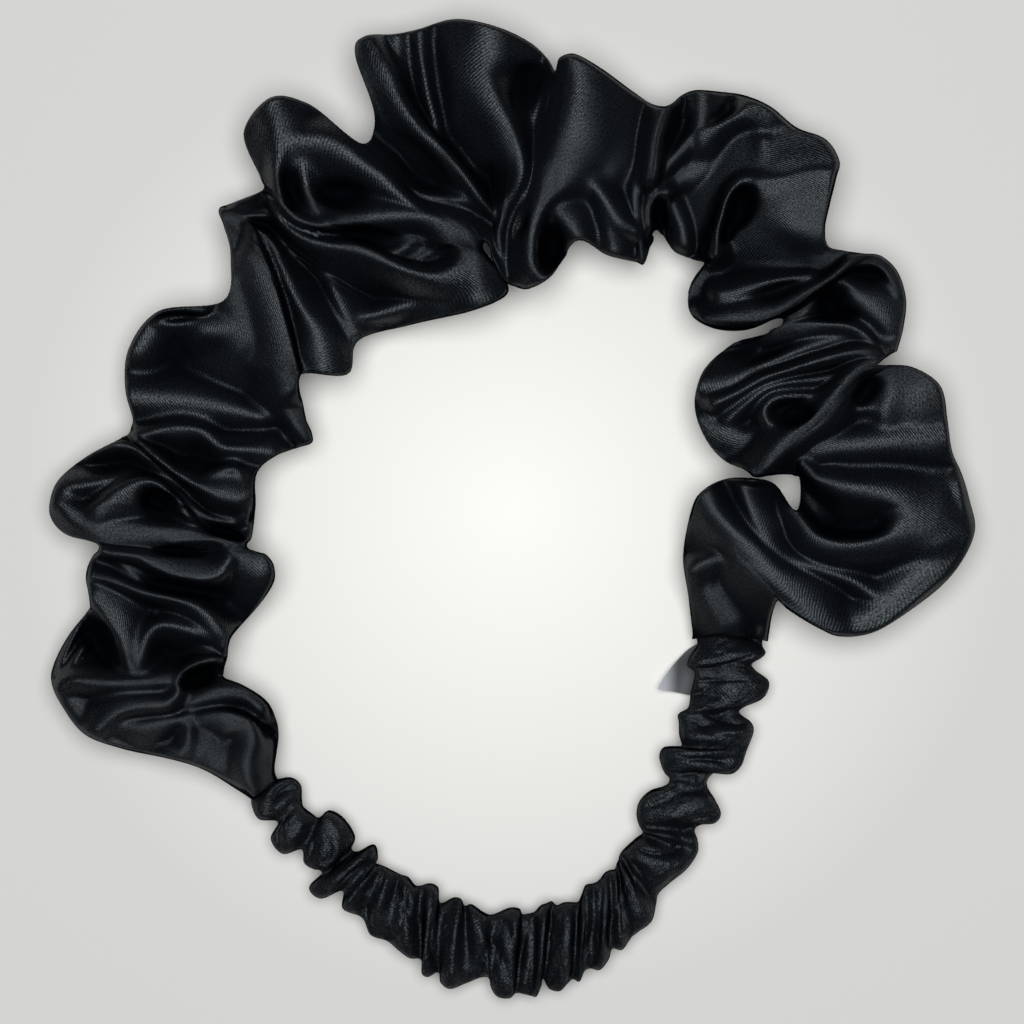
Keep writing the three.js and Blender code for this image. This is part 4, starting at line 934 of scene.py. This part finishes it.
def small_pleats(rows, shares):
    """Slanting small pleats and deeper tucks: 0 on their ridges, and less than 0 between them."""
    middle = (rows[:, 0] + rows[:, 2]) / 2
    along = far_along(np.linalg.norm(np.diff(middle[:, :2], axis=0), axis=1))[:, None]
    across = shares[None, :]
    pleats = math.pi * (along + waved(PLEATS_BEND, along, across)) / SMALL_PLEAT
    one, other = PLEATS_CROSS
    depth = MEAN_PLEAT + PLEAT_VARIES * waved(one, along, across) * waved(other, along, across)
    tucks = math.pi * (along + waved(TUCKS_BEND, along, across)) / BETWEEN_TUCKS
    tucked = MEAN_TUCK + waved(TUCKS_VARY, along, across)
    between_pleats = np.abs(np.cos(pleats)) ** SMALL_PLEAT_CUT - 1
    return between_pleats * depth - (1 - np.abs(np.sin(tucks)) ** TUCK_CUT) * tucked


def casing_layer(rows, shares, upper):
    """The outer face of the upper or the lower layer."""
    bulge = bulge_at(shares)
    inner, half, outer = rows[:, 0], rows[:, 1, 2], rows[:, 2]
    points = inner[:, None] * (1 - shares)[None, :, None] + outer[:, None] * shares[None, :, None]
    risen = half[:, None] * (bulge**CASING_ROUND)[None, :]
    points[..., 2] += risen if upper else -risen
    if upper:
        points[..., 2] += SMALL_PLEAT_DEPTH * small_pleats(rows, shares) * bulge[None, :]
    return points


# Meshes

def placed(name, data):
    """A new object in the scene for a mesh, a light or a camera."""
    made = bpy.data.objects.new(name, data)
    bpy.context.scene.collection.objects.link(made)
    return made


def new_mesh(name, points, faces):
    mesh = bpy.data.meshes.new(name)
    mesh.from_pydata(points.tolist(), [], faces)
    mesh.update()
    return mesh


def ring_normals(grid):
    """Unit vectors out of a tube given as stations of closed rings."""
    along = np.gradient(grid, axis=0)
    around = np.roll(grid, -1, axis=1) - np.roll(grid, 1, axis=1)
    normals = np.cross(around, along)
    lengths = np.linalg.norm(normals, axis=2, keepdims=True)
    return normals / np.maximum(lengths, 1e-9)


def tube_faces(stations, ring, first=0, flipped=False):
    """Quads between the rings of one shell."""
    i, j = np.meshgrid(np.arange(stations - 1), np.arange(ring), indexing="ij")
    i, j = i.ravel(), j.ravel()
    beside = (j + 1) % ring
    quads = first + np.column_stack([
        i * ring + j, i * ring + beside, (i + 1) * ring + beside, (i + 1) * ring + j,
    ])
    return (quads[:, ::-1] if flipped else quads).tolist()


def rim_faces(outer_first, inner_first, ring, flipped):
    """The rim of a mouth, between a ring of the outside and the coarser ring inside it."""
    faces = []
    few = ring // COARSER
    for j in range(few):
        inner = [inner_first + j, inner_first + (j + 1) % few]
        outer = [outer_first + (j * COARSER + k) % ring for k in range(COARSER + 1)]
        face = [*outer, *reversed(inner)]
        faces.append(face[::-1] if flipped else face)
    return faces


def hollowness(outside, upper):
    """Painted shade: from 0 on the ridges of the upper layer to 1 deep between them and on steep
    sides, and 1 on the lower layer.
    """
    height = outside[:, :upper + 1, 2]
    steep = eased(ring_normals(outside)[..., 2], PAINTED_SHADE_STARTS, PAINTED_SHADE_FULL)
    below = blurred(height, AROUND, wrap=False) - height
    deep = np.ones(outside.shape[:2])
    deep[:, :upper + 1] = eased(below, RIDGE_STANDS, RIDGE_STANDS + HOLLOW_DEPTH)
    return np.maximum(deep, steep)


def tube_mesh(name, outside, wall, deep):
    """A closed hollow tube with two open mouths, and its cloth's own coordinates as the UV map."""
    stations, ring = outside.shape[:2]
    normals = blurred(ring_normals(outside), WALL_SOFTNESS)
    inside = (outside - normals * wall)[::COARSER, ::COARSER]
    inside[..., 2] = np.maximum(inside[..., 2], wall / 2)
    few_stations, few_ring = inside.shape[:2]
    first_inside = stations * ring
    last_outside = (stations - 1) * ring
    last_inside = first_inside + (few_stations - 1) * few_ring
    points = np.concatenate([outside.reshape(-1, 3), inside.reshape(-1, 3)]) * MM
    mesh = new_mesh(name, points, (
        tube_faces(stations, ring) + tube_faces(few_stations, few_ring, first_inside, True)
        + rim_faces(0, first_inside, ring, True)
        + rim_faces(last_outside, last_inside, ring, False)
    ))
    mesh.shade_smooth()
    lay_out_cloth(mesh, outside)
    # Each point's painted shade, which darkens the satin's colour and takes away its gloss
    both = np.concatenate([deep.ravel(), deep[::COARSER, ::COARSER].ravel()])
    mesh.attributes.new("painted_shade", "FLOAT", "POINT").data.foreach_set("value", both)
    return mesh


def lay_out_cloth(mesh, outside):
    """UVs in metres of cloth: U along the tube and V round it, from the seam at its inner edge."""
    along, around = np.diff(outside, axis=0), np.roll(outside, -1, axis=1) - outside
    u = far_along(np.linalg.norm(along, axis=2).mean(axis=1)) * MM
    v = far_along(np.linalg.norm(around, axis=2).mean(axis=0)) * MM
    fine = np.stack(np.meshgrid(u, v[:-1], indexing="ij"), axis=2)
    both = np.concatenate([fine.reshape(-1, 2), fine[::COARSER, ::COARSER].reshape(-1, 2)])
    corners = np.empty(len(mesh.loops), int)
    mesh.loops.foreach_get("vertex_index", corners)
    coordinates = both[corners]
    starts = np.empty(len(mesh.polygons), int)
    mesh.polygons.foreach_get("loop_start", starts)
    ends = np.append(starts[1:], len(corners))
    face_of_corner = np.repeat(np.arange(len(starts)), ends - starts)
    highest = np.maximum.reduceat(coordinates[:, 1], starts)[face_of_corner]
    wraps = (highest > v[-1] * 0.75) & (coordinates[:, 1] < v[-1] * 0.25)
    coordinates[wraps, 1] += v[-1]
    mesh.uv_layers.new(name="cloth").data.foreach_set("uv", coordinates.ravel())


# Cloth

def settled(outside, growth, hold, frames, most):
    """How far each point moves as the cloth grows a little against its folds, and so wrinkles."""
    stations, ring = outside.shape[:2]
    mesh = new_mesh("settling", outside.reshape(-1, 3) * SIM_SCALE, tube_faces(stations, ring))
    cloth = placed("settling", mesh)
    pins = cloth.vertex_groups.new(name="pins")
    held = np.full((stations, ring), hold)
    held[[0, 1, -2, -1]] = 1
    for weight in (hold, 1):
        pins.add(np.flatnonzero(held.ravel() == weight).tolist(), weight, "REPLACE")
    modifier = cloth.modifiers.new("cloth", "CLOTH")
    for key, value in CLOTH_SETTINGS.items():
        setattr(modifier.settings, key, value)
    modifier.settings.shrink_min = -growth
    modifier.settings.effector_weights.gravity = 0
    modifier.collision_settings.use_collision = False
    modifier.point_cache.frame_start, modifier.point_cache.frame_end = 1, frames
    for step in range(1, frames + 1):
        bpy.context.scene.frame_set(step)
    shown = cloth.evaluated_get(bpy.context.evaluated_depsgraph_get())
    found = np.empty(stations * ring * 3)
    shown.data.vertices.foreach_get("co", found)
    moved = found.reshape(stations, ring, 3) / SIM_SCALE - outside
    bpy.data.objects.remove(cloth)
    bpy.context.scene.frame_set(1)
    length = np.linalg.norm(moved, axis=2, keepdims=True)
    return moved * (most * np.tanh(length / most) / np.maximum(length, 1e-9))


def with_wrinkles(outside, growth, hold, frames, most):
    """The tube with the wrinkles that its cloth settles into, kept above the floor."""
    moved = blurred(settled(outside[::SIM_STEP], growth, hold, frames, most), EASED_OUT)
    stations = np.arange(len(outside))
    every = stations[::SIM_STEP]
    low = np.searchsorted(every, stations, side="right") - 1
    high = np.minimum(low + 1, len(every) - 1)
    part = ((stations - every[low]) / SIM_STEP)[:, None, None]
    wrinkled = outside + moved[low] * (1 - part) + moved[high] * part
    wrinkled[..., 2] = np.maximum(wrinkled[..., 2], 0)
    return wrinkled


def tube_of_cloth(name, layer, rows, grid, cloth):
    """A tube of cloth. Its sections go out along the upper layer and back along the lower one."""
    rows = stations_along(rows, grid["stations"] + 1)
    over = layer(rows, shares_across(grid["upper"]), True)
    under = layer(rows, shares_across(grid["lower"]), False)
    outside = np.concatenate([over, under[:, -2:0:-1]], axis=1)
    outside = with_wrinkles(outside, **cloth)
    return placed(name, tube_mesh(name, outside, CLOTH_WALL, hollowness(outside, grid["upper"])))


# Care label

def label_mesh():
    """A folded tape: a closed slab that curls up along its free edge."""
    table = np.array(LABEL_LINES, float).reshape(-1, 2, 3)
    knots = knots_of(table)
    count, across = LABEL_GRID
    lines = between_rows(table, knots, np.linspace(0, knots[-1], count))
    share = np.linspace(0, 1, across)
    middle = lines[:, :1] * (1 - share)[None, :, None] + lines[:, 1:] * share[None, :, None]
    curl = np.clip(1 - share / LABEL_ROUND, 0, 1) ** 2
    low = lines[:, 1, 2]
    middle[..., 2] = low[:, None] + (lines[:, 0, 2] - low)[:, None] * curl[None, :]
    half = np.array([0, 0, LABEL_THICKNESS / 2])
    rings = np.concatenate([middle + half, (middle - half)[:, ::-1]], axis=1)
    stations, ring = rings.shape[:2]
    ends = [list(range(ring)), list(range((stations - 1) * ring, stations * ring))[::-1]]
    faces = tube_faces(stations, ring) + ends
    return new_mesh("care_label_tape", rings.reshape(-1, 3) * MM, faces)


# Materials

def new_material(name):
    material = bpy.data.materials.new(name)
    material.use_nodes = True
    tree = material.node_tree
    return material, tree, tree.nodes["Principled BSDF"]


def feed(tree, made, inputs):
    """Give a node its inputs: another node's output is linked, and a plain value is set."""
    for key, value in inputs.items():
        if isinstance(value, bpy.types.NodeSocket):
            tree.links.new(value, made.inputs[key])
        else:
            made.inputs[key].default_value = value


def node(tree, kind, output, inputs=(), **settings):
    """An output of a new node with these inputs and settings."""
    made = tree.nodes.new("ShaderNode" + kind)
    for key, value in settings.items():
        setattr(made, key, value)
    feed(tree, made, dict(inputs))
    return made.outputs[output]


def combined(tree, operation, first, second):
    return node(tree, "Math", "Value", {0: first, 1: second}, operation=operation)


def shaded(tree, share, shades):
    """A colour from the first of two shades to the second."""
    inputs = {MIX_SHARE: share, MIX_FIRST: shades[0], MIX_SECOND: shades[1]}
    return node(tree, "Mix", MIXED, inputs, data_type="RGBA")


def bumped(tree, height, strength, distance, **inputs):
    made = {"Height": height, "Strength": strength, "Distance": distance, **inputs}
    return node(tree, "Bump", "Normal", made)


def rising(tree, axis, lowest, highest):
    """From 0 at the lowest place along an axis of the part's frame to 1 at the highest."""
    place = node(tree, "TexCoord", "Object")
    where = node(tree, "SeparateXYZ", axis, {"Vector": place})
    inputs = {"Value": where, "From Min": lowest, "From Max": highest}
    return node(tree, "MapRange", "Result", inputs, interpolation_type="SMOOTHSTEP")


def satin(name, deep, high, crinkle, roughness):
    """Black satin: a fine slanting weave and a grainy blue-grey gloss, with painted shade that
    darkens its colour and takes its gloss away in the folds and low down.
    """
    material, tree, shader = new_material(name)
    cloth = node(tree, "UVMap", "UV", uv_map="cloth")
    weave = node(tree, "TexWave", "Fac", {
        "Vector": cloth, "Scale": 880, "Distortion": 1.5, "Detail": 2, "Detail Scale": 2,
    }, bands_direction="DIAGONAL", wave_profile="SIN")
    threads = node(tree, "TexNoise", "Fac", {"Vector": cloth, "Scale": 2400, "Detail": 3})
    creases = node(tree, "TexNoise", "Fac", {"Vector": cloth, "Scale": 420, "Detail": 2})
    painted_shade = node(tree, "Attribute", "Fac", attribute_name="painted_shade")
    # Painted shade: lit is 0 in hollows, on steep sides, on the lower layer and low down, where the
    # colour is darkest and the gloss is gone
    on_top = combined(tree, "SUBTRACT", 1, painted_shade)
    lit = combined(tree, "MULTIPLY", on_top, rising(tree, "Z", deep, high))
    grain = node(tree, "MapRange", "Result", {
        "Value": threads, "From Min": 0.35, "From Max": 0.65, "To Min": 0.1, "To Max": 0.62,
    })
    shine = node(tree, "MapRange", "Result", {"Value": lit, "To Min": 0.005, "To Max": 1.0})
    dulled = node(tree, "MapRange", "Result", {
        "Value": lit, "From Max": 0.3, "To Min": 0.85, "To Max": roughness,
    })
    relief = combined(tree, "ADD", weave, threads)
    crinkled = bumped(tree, creases, 1, crinkle)
    feed(tree, shader, {
        "Base Color": shaded(tree, lit, SATIN_IN_SHADE_AND_LIT),
        "Specular IOR Level": combined(tree, "MULTIPLY", grain, shine),
        "Roughness": dulled,
        "Normal": bumped(tree, relief, 0.5, 0.00007, Normal=crinkled),
        "Specular Tint": SATIN_TINT,
        "IOR": 1.45,
    })
    return material


def tape(name):
    """White woven tape: a fine rib along and across, with a painted shadow where it goes under the
    casing.
    """
    material, tree, shader = new_material(name)
    place = node(tree, "TexCoord", "Object")
    rib = node(tree, "TexWave", "Fac", {"Vector": place, "Scale": 900}, bands_direction="X")
    weft = node(tree, "TexWave", "Fac", {"Vector": place, "Scale": 1300}, bands_direction="Y")
    # Painted shadow of the casing, darkening the tape towards where it goes under
    tucked = rising(tree, "X", TAPE_SHADOW_FROM, TAPE_SHADOW_TO)
    bare = shaded(tree, rib, TAPE_SHADE)
    feed(tree, shader, {
        "Base Color": shaded(tree, tucked, (bare, TAPE_PAINTED_SHADOW)),
        "Roughness": 0.55,
        "Normal": bumped(tree, combined(tree, "ADD", rib, weft), 0.4, 0.00005),
    })
    return material


def elastic(name):
    """Black braided elastic: narrow cords side by side under a crossing braid."""
    material, tree, shader = new_material(name)
    place = node(tree, "TexCoord", "Object")
    inputs = {"Vector": place, "Scale": 320}
    braid = node(tree, "TexWave", "Fac", inputs, bands_direction="DIAGONAL")
    feed(tree, shader, {
        "Base Color": shaded(tree, braid, ELASTIC_SHADE),
        "Roughness": 0.75,
        "Normal": bumped(tree, braid, 0.6, 0.0002),
    })
    return material


def floor_paper(name):
    """Plain paper with a painted pool of light: paler round the middle of the picture."""
    material, tree, shader = new_material(name)
    place = node(tree, "TexCoord", "Object")
    away = node(tree, "VectorMath", "Value", {0: place}, operation="LENGTH")
    share = node(tree, "MapRange", "Result", {"Value": away, "From Max": FLOOR_LIT_TO})
    feed(tree, shader, {
        "Base Color": shaded(tree, share, FLOOR_PAINTED_LIGHT),
        "Roughness": 0.9,
        "Specular IOR Level": 0.1,
    })
    return material


# Assembly

def ruffle():
    rows = np.array(FOLDS, float).reshape(-1, 3, 3)
    piece = tube_of_cloth("ruffle_cloth", ruffle_layer, rows, RUFFLE_GRID, RUFFLE_CLOTH)
    piece.data.materials.append(satin("ruffle_satin", **RUFFLE_SATIN))
    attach(piece, "root")
    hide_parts("ruffle")


def casing():
    rows = casing_rows()
    piece = tube_of_cloth("elastic_casing_cloth", casing_layer, rows, CASING_GRID, CASING_CLOTH)
    piece.data.materials.append(satin("casing_satin", **CASING_SATIN))
    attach(piece, "root")
    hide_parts("elastic_casing")


def care_label():
    piece = placed("care_label_tape", label_mesh())
    piece.data.materials.append(tape("label_tape"))
    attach(piece, "root")
    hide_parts("care_label")


def elastic_band():
    band = bpy.data.objects["elastic_band"]
    band.data.materials.clear()
    band.data.materials.append(elastic("braided_elastic"))


# Stage

def plain_floor():
    half = FLOOR_SIZE / 2
    corners = np.array([(-half, -half, 0), (half, -half, 0), (half, half, 0), (-half, half, 0)])
    floor = placed("floor", new_mesh("floor", corners, [(0, 1, 2, 3)]))
    floor.location.z = cad_low.z - FLOOR_BELOW
    floor.data.materials.append(floor_paper("floor_paper"))


def area_light(name, place, size, power):
    """A round studio light that shines at the origin."""
    lamp = bpy.data.lights.new(name, "AREA")
    lamp.shape = "DISK"
    lamp.size = size
    lamp.energy = power
    holder = placed(name, lamp)
    holder.location = place
    holder.rotation_euler = (-Vector(place)).to_track_quat("-Z", "Y").to_euler()


def studio():
    world = bpy.data.worlds.new("studio")
    bpy.context.scene.world = world
    world.use_nodes = True
    background = world.node_tree.nodes["Background"]
    background.inputs["Color"].default_value = (1, 1, 1, 1)
    background.inputs["Strength"].default_value = 0.02
    area_light("overhead", place=(0.0, 0.03, 1.0), size=0.8, power=12.0)
    bpy.context.scene.view_settings.view_transform = "Standard"


def camera():
    centre = (cad_low + cad_high) / 2
    lens = bpy.data.cameras.new("camera")
    holder = placed("camera", lens)
    lens.lens = CAMERA_ABOVE * lens.sensor_width / FRAME_WIDTH
    above = cad_low.z + EDGE_HEIGHT + CAMERA_ABOVE
    holder.location = (centre.x, centre.y + PICTURE_CENTRE_Y, above)
    bpy.context.scene.camera = holder


plain_floor()
studio()
camera()
ruffle()
casing()
care_label()
elastic_band()
